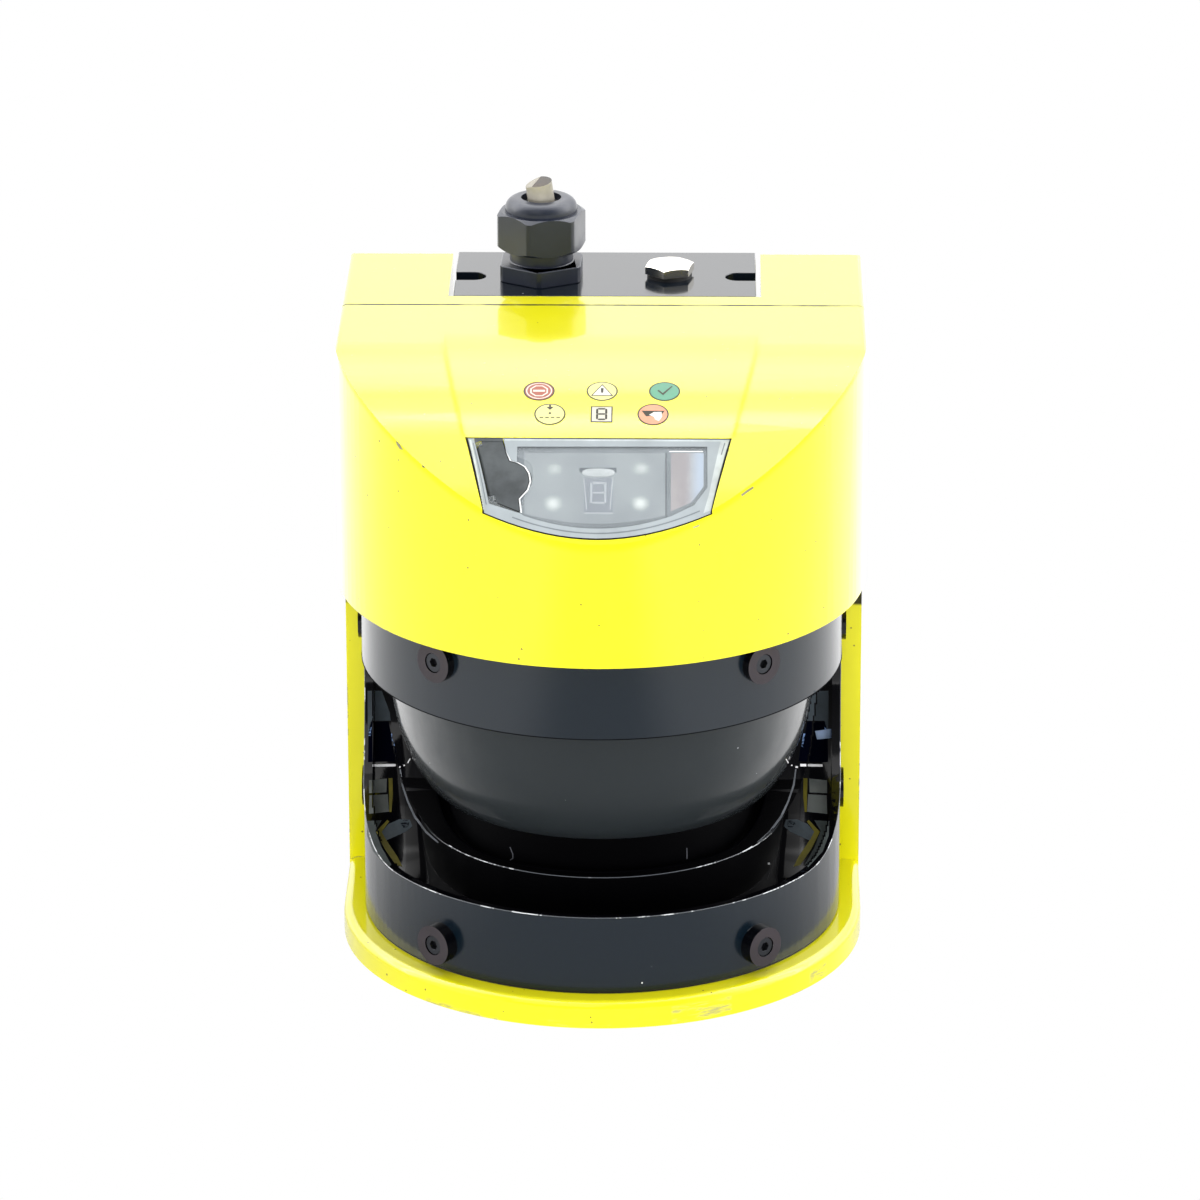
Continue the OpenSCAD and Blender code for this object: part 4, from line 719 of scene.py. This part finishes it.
def display_pieces():
    """Border printed on the window, and the frosted sheets that lie in it under a clear face."""
    inner = window_loop(WINDOW_GAP)
    edge = [(x / MM, y / MM) for x, y in inner]
    corner, bottom = edge[0], edge[2:]
    # Painted shade: a black line in the gap round the display
    skin("window_gap", window_loop(0.0), 0.02 * MM, GAP_SHADE, holes=[inner])
    skins((
        ("window_border", [(-27.1, corner[1]), edge[1], *bottom, corner, (-35.5, corner[1]), (-32.9, -62.0),
                           (-30.7, -70.7), (-22.0, -73.0), *bow(-76.5, 150.0, -20.6, 21.0), (27.4, -70.9),
                           (31.1, -66.4), (31.0, -54.4), (-23.0, -54.6), (-23.0, -59.5), (-24.6, -58.9),
                           (-26.0, -56.4)], 0.03, FRAME_LIGHT, "display_window"),
        ("display_plate", [(-24.2, -52.4), (32.0, -52.4), (32.3, -66.1), (28.0, -70.9),
                           *bow(-76.9, 150.0, 21.0, -22.2)], -0.7, FRAME_DARK, "light_guide"),
        ("frosted_sheet", [(-21.1, -55.7), (19.0, -55.7), *bow(-74.7, 185.0, 19.2, -20.5)], -0.65, FROSTED,
         "light_guide"),
        ("compartment_cover", [(20.7, -55.6), (30.0, -55.6), (30.0, -65.4), (26.6, -69.5), (20.8, -71.7)],
         -0.65, COMPARTMENT, "display_tray"),
        ("compartment_line", [(20.2, -55.0), (29.8, -55.0), (29.8, -55.4), (20.2, -55.4)], -0.6, LAMP_WHITE,
         "display_tray"),
        ("divider_line", [(19.1, -55.7), (19.5, -55.7), (19.7, -73.2), (19.3, -73.2)], -0.62, GROOVE_GREY,
         "display_tray")))
    for name, points in (("border_line", bow(-77.6, 160.0, -24.0, 29.0)),
                         ("border_line_left", [(-35.6, -53.4), (-31.4, -71.0)]),
                         ("border_line_right", [(36.0, -53.2), (35.0, -57.0)])):
        skin(name, ribbon(points, 0.3), 0.05 * MM, FRAME_DARK)
    skin("lamp_slot", sized([(-5.3, -60.3), (5.3, -60.2), (5.3, -61.6), (-5.2, -61.6)]), -0.61 * MM,
         GROOVE_GREY)
    oval_dome("lamp_dome", (0.2, -61.6), (4.6, 1.15), -0.6 * MM, 0.35 * MM, DOME_GREY)
    module = [(-4.0, -63.2), (4.3, -63.1), (4.4, -72.3), (-3.8, -72.3)]
    skin("module_plate", sized(module), -0.61 * MM, MODULE_GREY)
    rims = [module[0], (-3.0, -71.4)], [module[1], (3.6, -71.4)], [module[3], module[2]]
    for k, points in enumerate(rims):
        skin("module_rim_%d" % k, ribbon(points, 0.35), -0.58 * MM, SEGMENT_GREY)
    face = [(-33.3, -52.7), (-27.2, -52.5), *FLAP_SIDE, (-22.1, -72.7), (-28.3, -70.6), (-28.85, -69.0)]
    skin("flap_face", sized(face), -0.12 * MM, SMOKED, body="flap")
    # Painted shade: a dark line along the flap's cut edge
    skin("flap_edge", ribbon([(-27.3, -52.5), *FLAP_SIDE, (-22.0, -72.6), (-28.2, -70.5)], 0.22), -0.1 * MM,
         GAP_SHADE, body="flap")
    # Painted highlight: a white line along the window's cut beside the flap
    skin("flap_rim", ribbon([(x + 0.35, y) for x, y in [(-27.1, -52.0), *FLAP_SIDE, (-21.8, -72.8)]], 0.4),
         -0.11 * MM, LAMP_WHITE)


SIGN_R = 4.5                # radius of a sign in millimetres
ROW_ONE, ROW_TWO = 36.1 * MM, 46.4 * MM     # how far down the slope the two rows of signs lie
DIGIT_X = 0.8 * MM          # middle line of the digit's sign


def mark(name, outline, lift, material, holes=()):
    """Figure printed on the hood's panel, with its lift in millimetres."""
    skin(name, outline, lift * MM, material, holes)


def sign(name, cx, drop, fill):
    """Outlined disc of a status sign."""
    mark(name + "_outline", ring_of(cx, drop, SIGN_R), 0.03, PRINT_DARK)
    mark(name + "_disc", ring_of(cx, drop, SIGN_R - 0.42), 0.05, fill)


def status_signs():
    """Generic status signs in two rows: halt, attention, ready, restart, digit, soiled window."""
    x, drop = -17.3 * MM, ROW_ONE
    sign("halt_sign", x, drop, PRINT_RED)
    mark("halt_ring", ring_of(x, drop, 3.75), 0.07, PRINT_WHITE, [ring_of(x, drop, 3.4)])
    mark("halt_octagon", ring_of(x, drop, 2.75, 8, math.pi / 8), 0.07, PRINT_WHITE,
         [ring_of(x, drop, 2.3, 8, math.pi / 8)])
    bar = [(-1.7, -0.45), (1.7, -0.45), (1.7, 0.45), (-1.7, 0.45)]
    mark("halt_bar", drawn(bar, x, drop), 0.07, PRINT_WHITE)
    x = DIGIT_X
    sign("attention_sign", x, drop, PRINT_YELLOW)
    triangle = [(-3.2, -2.3), (3.2, -2.3), (0, 3.3)]
    inner = [(px * 0.84, (py + 0.43) * 0.84 - 0.43) for px, py in triangle]
    mark("attention_edge", drawn(triangle, x, drop), 0.07, PRINT_DARK)
    mark("attention_fill", drawn(inner, x, drop), 0.09, PRINT_WHITE)
    bar = [(-0.3, -0.9), (0.3, -0.9), (0.42, 1.3), (-0.42, 1.3)]
    mark("attention_bar", drawn(bar, x, drop), 0.11, PRINT_DARK)
    x = 18.7 * MM
    sign("ready_sign", x, drop, PRINT_GREEN)
    tick = [(-2.1, 0.2), (-1.7, 0.6), (-0.5, -0.9), (2.0, 2.5), (2.3, 2.2), (-0.4, -1.9)]
    mark("ready_tick", drawn(tick, x, drop), 0.08, PRINT_DARK)
    x, drop = -14 * MM, ROW_TWO
    sign("restart_sign", x, drop, PRINT_YELLOW)
    arrow = [(-0.3, 3.9), (0.3, 3.9), (0.3, 3.0), (1.1, 3.0), (0, 1.7), (-1.1, 3.0), (-0.3, 3.0)]
    mark("restart_arrow", drawn(arrow, x, drop), 0.08, PRINT_DARK)
    mark("restart_dot", ring_of(x, drop - 0.3 * MM, 0.4, 16), 0.08, PRINT_DARK)
    for k in range(4):
        px = -2.4 + 1.6 * k
        dash = [(px - 0.5, -1.7), (px + 0.5, -1.7), (px + 0.5, -1.3), (px - 0.5, -1.3)]
        mark("restart_dash_%d" % k, drawn(dash, x, drop), 0.08, PRINT_DARK)
    x = DIGIT_X
    square = [(-3.15, -3.4), (3.15, -3.4), (3.15, 3.4), (-3.15, 3.4)]
    mark("digit_sign_outline", drawn(square, x, drop), 0.03, PRINT_DARK)
    mark("digit_sign_fill", drawn([(px * 0.88, py * 0.88) for px, py in square], x, drop), 0.05, PRINT_GREY)
    x = 15.5 * MM
    sign("soiled_sign", x, drop, PRINT_SALMON)
    pane = [(-3.3, 1.5), (3.3, 1.5), (2.3, -0.5), (-2.0, -0.9)]
    mark("soiled_window", drawn(pane, x, drop), 0.07, PRINT_DARK)
    cloth = [(-1.2, -0.3), (0.2, 0.9), (2.4, 1.0), (2.6, -1.0), (1.7, -2.9), (0.6, -2.2), (0.2, -1.1)]
    mark("soiled_cloth", drawn(cloth, x, drop), 0.09, PRINT_WHITE)


def bar_mesh(length, width):
    """Flat bar with pointed ends, one segment of a digit."""
    a, b = length / 2, width / 2
    mesh = bpy.data.meshes.new("segment")
    mesh.from_pydata([(-a, 0, 0), (b - a, -b, 0), (a - b, -b, 0), (a, 0, 0), (a - b, b, 0), (b - a, b, 0)],
                     [], [(0, 1, 2, 3, 4, 5)])
    return mesh


def geometry_group(name, *inputs):
    inputs = [(label, kind, None) for label, kind in (*inputs, ("Finish", "Material"))]
    return new_group(name, inputs, [("Geometry", "Geometry")], "Geometry")


def repeat_tree():
    """Geometry Nodes: a copy of a piece at every point, turned by the point's own angles."""
    tree, given, result = geometry_group("repeat at points", ("Points", "Geometry"), ("Piece", "Object"))
    piece = add(tree, "GeometryNodeObjectInfo", {"Object": given["Piece"]})
    turn = add(tree, "GeometryNodeInputNamedAttribute", {"Name": "turn"}, data_type="FLOAT_VECTOR")
    copies = add(tree, "GeometryNodeInstanceOnPoints",
                 {"Points": given["Points"], "Instance": piece.outputs["Geometry"],
                  "Rotation": turn.outputs["Attribute"]})
    real = add(tree, "GeometryNodeRealizeInstances", {"Geometry": copies.outputs["Instances"]})
    return finished(tree, real.outputs["Geometry"], given, result)


def line_tree():
    """Geometry Nodes: a thin round line along the edges of a mesh."""
    tree, given, result = geometry_group("line along edges", ("Edges", "Geometry"), ("Radius", "Float"))
    curve = add(tree, "GeometryNodeMeshToCurve", {"Mesh": given["Edges"]})
    ring = add(tree, "GeometryNodeCurvePrimitiveCircle", {"Resolution": 8, "Radius": given["Radius"]})
    tube = add(tree, "GeometryNodeCurveToMesh", {"Curve": curve.outputs["Curve"],
                                                 "Profile Curve": ring.outputs["Curve"]})
    return finished(tree, tube.outputs["Mesh"], given, result)


def finished(tree, geometry, given, result):
    finish = add(tree, "GeometryNodeSetMaterial", {"Geometry": geometry, "Material": given["Finish"]})
    tree.links.new(finish.outputs["Geometry"], result["Geometry"])
    return tree


REPEAT = repeat_tree()
LINE = line_tree()


def grown(name, mesh, tree, values):
    """Piece that a Geometry Nodes tree makes of a mesh, with values for the tree's inputs."""
    made = new_object(name, mesh)
    modifier = made.modifiers.new("grown", "NODES")
    modifier.node_group = tree
    for item in tree.interface.items_tree:
        if item.in_out == "INPUT" and item.name in values:
            modifier[item.identifier] = values[item.name]
    bake_modifiers(made)
    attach(made, "scanner")


def repeated(name, piece_mesh, places, material):
    """places holds a point and the three angles of each copy."""
    piece = new_object(name + "_piece", piece_mesh)
    points = bpy.data.meshes.new(name)
    points.from_pydata([at for at, _ in places], [], [])
    turns = points.attributes.new("turn", "FLOAT_VECTOR", "POINT")
    for value, (_, turn) in zip(turns.data, places):
        value.vector = turn
    grown(name, points, REPEAT, {"Piece": piece, "Finish": material})
    bpy.data.objects.remove(piece)


def digit_places(cx, drop, w, h, lift):
    """Places of the seven bars of a digit on the slope, and their turns."""
    tilt = drop / PANEL_R
    bars = [(0, h, 0), (0, 0, 0), (0, -h, 0)]
    bars += [(sx * w, sy * h / 2, 1) for sx in (-1, 1) for sy in (-1, 1)]
    lean = Matrix.Rotation(tilt, 3, "X")
    return [(panel_at(cx + x, down_slope(drop - y), lift),
             (lean @ Matrix.Rotation(math.pi / 2 * upright, 3, "Z")).to_euler()) for x, y, upright in bars]


def edge_line(name, node, chosen, radius, material):
    """Line laid along a CAD node's sharp edges; chosen tells which, from an edge's middle in metres."""
    work = bmesh.new()
    work.from_mesh(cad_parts[node].data)
    bmesh.ops.remove_doubles(work, verts=work.verts, dist=1e-6)
    keep, sharp = [], 0.3
    for edge in work.edges:
        middle = (edge.verts[0].co + edge.verts[1].co) / 2
        if len(edge.link_faces) == 2 and edge.calc_face_angle(0) > sharp and chosen(middle):
            keep.append(edge)
    corners = {}
    for edge in keep:
        for v in edge.verts:
            corners.setdefault(v, len(corners))
    mesh = bpy.data.meshes.new(name)
    mesh.from_pydata([v.co for v in corners], [[corners[v] for v in edge.verts] for edge in keep], [])
    work.free()
    grown(name, mesh, LINE, {"Radius": radius, "Finish": material})


def highlight_line_material():
    """Painted highlight along an edge, bright in stretches."""
    material, tree, shader = blank_material("edge_worn")
    share = 0.52
    patches = spread(tree, noise(tree, 70.0, 5.0, 0.7), share, share + 0.05)
    feed(tree, shader, {"Base Color": mix(tree, patches, srgb(84, 88, 94), srgb(235, 238, 242)),
                        "Roughness": spread(tree, patches, 0.0, 1.0, 0.15, 0.5)})
    return material


def cover_lines():
    """Lines along the cover's edges, found by their place off its middle line and height: painted highlights
    along the ridge and rim, painted shade along the ridge's inner edge, and the band's sealed lower edge in
    dark gasket grey.
    """
    edge_marks = highlight_line_material()
    unlit = plain("edge_unlit", (4, 4, 6), 0.9, specular=0.0)
    gasket = plain("edge_gasket", (14, 15, 17), 0.8, mottle=0.4, specular=0.02)
    for name, r, low, high, radius, material in (("ridge_edge", 54.0, 36.0, 80.0, 0.15, edge_marks),
                                                 ("ridge_inner_edge", 50.0, 36.0, 80.0, 0.3, unlit),
                                                 ("rim_edge", 71.0, 31.0, 80.0, 0.15, edge_marks),
                                                 ("band_edge", 71.0, 86.5, 88.5, 0.15, gasket)):
        def chosen(at):
            near = abs(off_middle(at) - r * MM) < 0.35 * MM
            return near and low * MM < at.z < high * MM and at.y < 20 * MM
        edge_line(name, "optics_cover", chosen, radius * MM, material)


# The camera: a long lens, a little above and to the right of the scanner
CAMERA_AT = Vector((31.43, -1837.47, 793.43)) * MM
CAMERA_LOOK = Vector((-0.016282, 0.935913, -0.351854))
CAMERA_RIGHT = Vector((0.99986, 0.016619, -0.002065))
LENS_MM = 199.2
SENSOR_MM = 36
UNITS = 1200                # units across the camera's frame, for places given by how it sees them
MIRROR_LINE = 1196          # twice the middle of the scanner in those units
PATCH_STEP = 1.5
LONGEST = 4 * MM            # longer edges of a patch span a step in the surface, and are dropped


def camera_patch(name, outline, material, side, node="optics_cover", lift=0.05 * MM):
    """Patch on a node's surface where the camera sees an outline, given in units of its frame."""
    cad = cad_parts[node].data
    surface = BVHTree.FromPolygons([v.co for v in cad.vertices], [p.vertices for p in cad.polygons])
    if side > 0:
        outline = [(MIRROR_LINE - x, y) for x, y in outline]
    work = flat_sheet((outline,), True)
    cut_across(work, PATCH_STEP, (0, 1), 1e-6)
    up = CAMERA_RIGHT.cross(CAMERA_LOOK)
    ahead = CAMERA_LOOK * (LENS_MM / SENSOR_MM * UNITS)
    missed = []
    for v in work.verts:
        way = ahead + CAMERA_RIGHT * (v.co.x - UNITS / 2) - up * (v.co.y - UNITS / 2)
        at, normal, _, _ = surface.ray_cast(CAMERA_AT, way.normalized())
        if at is None:
            missed.append(v)
        else:
            v.co = at + normal * lift
    bmesh.ops.delete(work, geom=missed, context="VERTS")
    stretched = [e for e in work.edges if e.calc_length() > LONGEST]
    bmesh.ops.delete(work, geom=stretched, context="EDGES")
    mesh = bpy.data.meshes.new(name)
    work.to_mesh(mesh)
    work.free()
    finish_piece(mesh, name, material, "scanner")


def reflections():
    """Painted reflections: bright and dark patches that the glossy posts of the cover and its ridge show."""
    black = plain("patch_black", (3, 4, 14), 0.9, specular=0.0)
    white = plain("patch_white", (250, 250, 252), 0.4)
    blue = plain("patch_blue", (120, 150, 200), 0.3)
    grey = plain("patch_grey", (88, 92, 90), 0.5, mottle=0.3, specular=0.1)
    wall = plain("patch_wall", (58, 64, 64), 0.5, mottle=0.3, specular=0.1)
    edge = plain("patch_edge", (112, 116, 122), 0.4, mottle=0.5, specular=0.2)
    dim = plain("patch_dim", (60, 68, 74), 0.5, mottle=0.3, specular=0.2)
    olive = plain("patch_olive", (92, 86, 22), 0.5, mottle=0.3, specular=0.2)
    parts = (
        ("post_dim", dim, [(182, 60), (262, 60), (306, 180), (312, 228), (205, 228), (184, 300)]),
        ("post_block", black, [(200, 232), (300, 232), (312, 290), (340, 380), (350, 455), (185, 460),
            (187, 300)]),
        ("post_glow_a", blue, [(190, 275), (206, 262), (199, 318), (188, 318)]),
        ("post_glow_b", blue, [(312, 300), (322, 300), (334, 372), (326, 376)]),
        ("post_line", white, [(216, 472), (340, 470), (340, 484), (216, 486)]),
        ("post_grey_a", grey, [(190, 562), (290, 552), (288, 630), (190, 634)]),
        ("post_grey_b", grey, [(192, 646), (296, 640), (302, 738), (190, 750)]),
        ("post_olive_a", olive, [(300, 550), (322, 550), (324, 640), (316, 740), (304, 740)]),
        ("post_curve", wall, [(178, 790), (262, 786), (226, 846), (262, 940), (316, 1036), (296, 1050),
            (214, 960), (180, 870)]),
        ("post_olive_b", olive, [(292, 784), (304, 792), (262, 850), (296, 910), (350, 990), (378, 1046),
            (340, 1036), (280, 950), (230, 850)]),
        ("post_lens", dim, [(262, 850), (300, 806), (360, 780), (420, 782), (432, 820), (396, 850),
            (330, 880), (286, 900)]),
        ("post_hole", black, [(366, 806), (381, 786), (406, 784), (417, 801), (409, 823), (384, 829)]),
        ("ridge_streak", edge, [(361, 500), (369, 500), (382, 588), (412, 678), (452, 762), (516, 848),
            (582, 908), (577, 914), (508, 856), (442, 770), (403, 682), (372, 590)]),
        ("hook_a", white, [(405, 462), (419, 440), (423, 443), (409, 467)]),
        ("hook_b", white, [(383, 476), (390, 474), (392, 481), (385, 483)]),
        ("hook_c", white, [(352, 484), (366, 482), (367, 492), (354, 493)]))
    left, top, scale = 335, 680, 5.6    # the points are set out finer, from a corner near the left post
    for name, material, points in parts:
        outline = [(left + x / scale, top + y / scale) for x, y in points]
        for side, end in ((-1, "_left"), (1, "_right")):
            camera_patch(name + end, outline, material, side)


def digits():
    """Bars of the digit on its sign and in the display."""
    places = digit_places(DIGIT_X, ROW_TWO, 1.3 * MM, 2.2 * MM, 0.09 * MM)
    repeated("digit_sign_bars", bar_mesh(2.3 * MM, 0.62 * MM), places, PRINT_DARK)
    drop = math.asin((PANEL_Y + 67.2 * MM) / PANEL_R) * PANEL_R
    places = digit_places(0.2 * MM, drop, 2.0 * MM, 3.3 * MM, -0.57 * MM)
    repeated("digit_module_bars", bar_mesh(3.5 * MM, 0.6 * MM), places, SEGMENT_GREY)


def wear_and_painted_edge_light():
    """Painted highlights and painted shade along the edges of the display's window, a painted reflection on
    the cover, paint chipped along the hood's slopes, and scratches and dust on the cover.
    """
    light = plain("border_glint", (198, 205, 206), 0.5, mottle=0.2, grain=0.8, specular=0.1)
    hair = plain("scratch_grey", (84, 86, 92), 0.6, mottle=0.4, specular=0.1)
    dust = plain("dust_white", (214, 216, 218), 0.6, specular=0.1)
    shine = plain("shine_blue", (146, 166, 196), 0.5, mottle=0.5, grain=2.0, specular=0.1)
    chip = plain("paint_chip", (150, 146, 118), 0.7, mottle=0.5, specular=0.1)
    cover = "optics_cover"
    # block_shine is a painted reflection; the chips, scratches and dust are wear
    for name, material, node, outline in (
            ("chip_left", chip, "hood", [(396, 441), (399, 442.6), (403, 450), (400, 448.8), (397, 444.6)]),
            ("chip_right", chip, "hood", [(741, 494.5), (747, 490), (753, 486.4), (753.6, 488.2),
                (747, 492.6), (742, 496.4)]),
            ("scratch_left", hair, cover, [(509.6, 847), (510.6, 847), (513.4, 854), (513.4, 858.6),
                (510.2, 860.4), (510, 859.6), (512.4, 858), (512.4, 854.4)]),
            ("scratch_right", hair, cover, [(686.4, 848), (687.2, 848), (687.3, 859), (686.5, 859)]),
            ("dust_groove", dust, cover, [(767.6, 862.6), (769.6, 862.4), (769.8, 864.4), (767.8, 864.6)]),
            ("dust_band", dust, cover, [(641.4, 982), (643, 982.2), (642.6, 983.6), (641.2, 983.4)]),
            ("block_shine", shine, cover, [(815, 731), (832.4, 728.6), (833, 738), (817, 739.4)]),
            ("chip_low", chip, "hood", [(693, 527), (699, 524.8), (699.4, 526), (693.5, 528.2)]),
            ("chip_side", chip, "hood", [(422, 465), (424.4, 466.2), (425, 468), (422.6, 467.2)])):
        camera_patch(name, outline, material, -1, node, 0.06 * MM)
    # Painted highlights along the display's border, and black lines of painted shade in the gaps at its sides
    skins((name, outline, 0.045, material, "display_window") for name, outline, material in (
        ("border_light", [(34.9, -52.4), (37.2, -52.4), (32.0, -72.2), (30.0, -72.9), (31.5, -68.4)], light),
        ("border_light_top", [(-26.6, -52.15), (37.0, -52.25), (36.9, -52.75), (-26.5, -52.65)], light),
        ("border_light_left", [(-36.8, -52.4), (-36.2, -52.4), (-31.9, -72.0), (-32.3, -72.2)], light),
        ("flap_top", [(-35.4, -51.9), (-27.25, -51.9), (-27.05, -52.9), (-33.6, -52.9), (-34.7, -53.3),
            (-35.1, -53.6)], SMOKED),
        ("window_gap_right", [(37.5, -51.7), (38.15, -51.7), (32.5, -73.1), (31.95, -72.9)], GAP_SHADE),
        ("window_gap_left", [(-37.3, -51.6), (-37.95, -51.6), (-32.5, -73.1), (-31.95, -72.9)], GAP_SHADE)))


display_pieces()
status_signs()
digits()
cover_lines()
reflections()
wear_and_painted_edge_light()


# ---- camera, light and floor

def make_camera():
    data = bpy.data.cameras.new("camera")
    data.lens = LENS_MM
    data.sensor_width = SENSOR_MM
    data.clip_start, data.clip_end = 0.1, 30
    made = new_object("camera", data)
    up = CAMERA_RIGHT.cross(CAMERA_LOOK).normalized()
    turn = Matrix((CAMERA_RIGHT, up, -CAMERA_LOOK)).transposed().to_4x4()
    made.matrix_world = Matrix.Translation(CAMERA_AT) @ turn
    bpy.context.scene.camera = made


def soft_box(name, at, toward, size, power):
    data = bpy.data.lights.new(name, "AREA")
    data.shape = "RECTANGLE"
    data.size, data.size_y = size
    data.energy = power
    made = new_object(name, data)
    made.location = at
    made.rotation_mode = "QUATERNION"
    made.rotation_quaternion = (Vector(toward) - Vector(at)).to_track_quat("-Z", "Y")
    return made


# Brightness of the studio in reflections by degrees, from the horizon behind, over the top, to the front
STUDIO = ((0, 1.9), (23, 2.2), (30, 2.7), (36, 3.9), (41, 5.2), (46, 6.0), (54, 6.4), (58, 4.2), (62, 5.0),
          (65, 5.6), (67.5, 9.0), (70, 11.5), (72.5, 10.0), (74.5, 7.0), (76.5, 5.0), (78.5, 4.6), (90, 4.9),
          (98, 5.0), (103, 3.0), (110, 1.0), (125, 0.25), (180, 0.08))
BRIGHTEST = 12


def make_world():
    """White to the camera; gloss sees a brighter studio behind and above than in front."""
    world = bpy.data.worlds.new("studio")
    bpy.context.scene.world = world
    world.use_nodes = True
    tree = world.node_tree
    shader = tree.nodes["Background"].inputs
    path = add(tree, "ShaderNodeLightPath").outputs
    way = xyz(tree, add(tree, "ShaderNodeTexCoord").outputs["Generated"])
    turn = maths(tree, "DIVIDE", maths(tree, "ARCTAN2", way["Z"], way["Y"]), math.pi)
    panels = add(tree, "ShaderNodeValToRGB", {"Fac": turn})
    panels.color_ramp.interpolation = "EASE"
    stops = panels.color_ramp.elements
    for k, (degrees, value) in enumerate(STUDIO):
        stop = stops[k] if k < 2 else stops.new(degrees / 180)
        stop.position = degrees / 180
        stop.color = (*[value / BRIGHTEST] * 3, 1)
    side = spread(tree, size_of(tree, way["X"]), 0.45, 0.95, 0.0, 1.5)
    gloss = plus(tree, times(tree, panels.outputs["Color"], BRIGHTEST), side)
    seen = add(tree, "ShaderNodeMix", {"Factor": path["Is Glossy Ray"], "A": 0.7, "B": gloss})
    strength = add(tree, "ShaderNodeMix", {"Factor": path["Is Camera Ray"], "A": seen.outputs[0], "B": 1.05})
    feed(tree, shader, {"Strength": strength.outputs[0], "Color": (1, 1, 1, 1)})


def make_floor():
    """Plain pale floor, even to the camera, brighter in reflections beside and behind the scanner."""
    mesh = bpy.data.meshes.new("floor")
    reach = 6.0
    mesh.from_pydata([(-reach, -reach, 0), (reach, -reach, 0), (reach, reach, 0), (-reach, reach, 0)],
                     [], [(0, 1, 2, 3)])
    floor = new_object("floor", mesh)
    floor.location.z = -0.02 * MM
    material, tree, shader = blank_material("floor_white")
    tone = spread(tree, noise(tree, 0.8, 2.0), 0.3, 0.7, 0.93, 0.95)
    shade = add(tree, "ShaderNodeCombineColor", {"Red": tone, "Green": tone, "Blue": tone})
    feed(tree, shader, {"Base Color": shade.outputs["Color"], "Roughness": 0.9, "Specular IOR Level": 0.0})
    path = add(tree, "ShaderNodeLightPath").outputs
    at = xyz(tree)
    beside = spread(tree, size_of(tree, at["X"]), 0.07, 0.2, 0.85, 1.7)
    glow = plus(tree, beside, spread(tree, at["Y"], 0.0, 0.3, 0.0, 0.4))
    strength = add(tree, "ShaderNodeMix", {"Factor": path["Is Camera Ray"], "A": glow, "B": 1.0})
    paper = add(tree, "ShaderNodeEmission", {"Color": (1, 1, 1, 1), "Strength": strength.outputs[0]})
    mirrored = larger(tree, path["Is Camera Ray"], path["Is Glossy Ray"])
    blend = add(tree, "ShaderNodeMixShader", {0: mirrored, 1: tree.nodes["Principled BSDF"].outputs[0],
                                              2: paper.outputs[0]})
    feed(tree, tree.nodes["Material Output"].inputs, {"Surface": blend.outputs[0]})
    mesh.materials.append(material)


make_camera()
make_world()
make_floor()
soft_box("key", (-0.5, -1.3, 1.5), (0, 0, 0.1), (1.2, 1.2), 5.5)
soft_box("fill", (0.1, -1.6, 0.12), (0, 0, 0.08), (1.8, 0.4), 15).visible_glossy = False
soft_box("overhead", (0.2, 0.2, 1.9), (0, 0, 0), (1.6, 1.6), 13).visible_glossy = False
soft_box("right", (1.6, -0.4, 0.8), (0, 0, 0.1), (0.8, 1.4), 6)

scene = bpy.context.scene
scene.view_settings.view_transform = "Standard"
scene.view_settings.look = "None"
scene.render.film_transparent = False
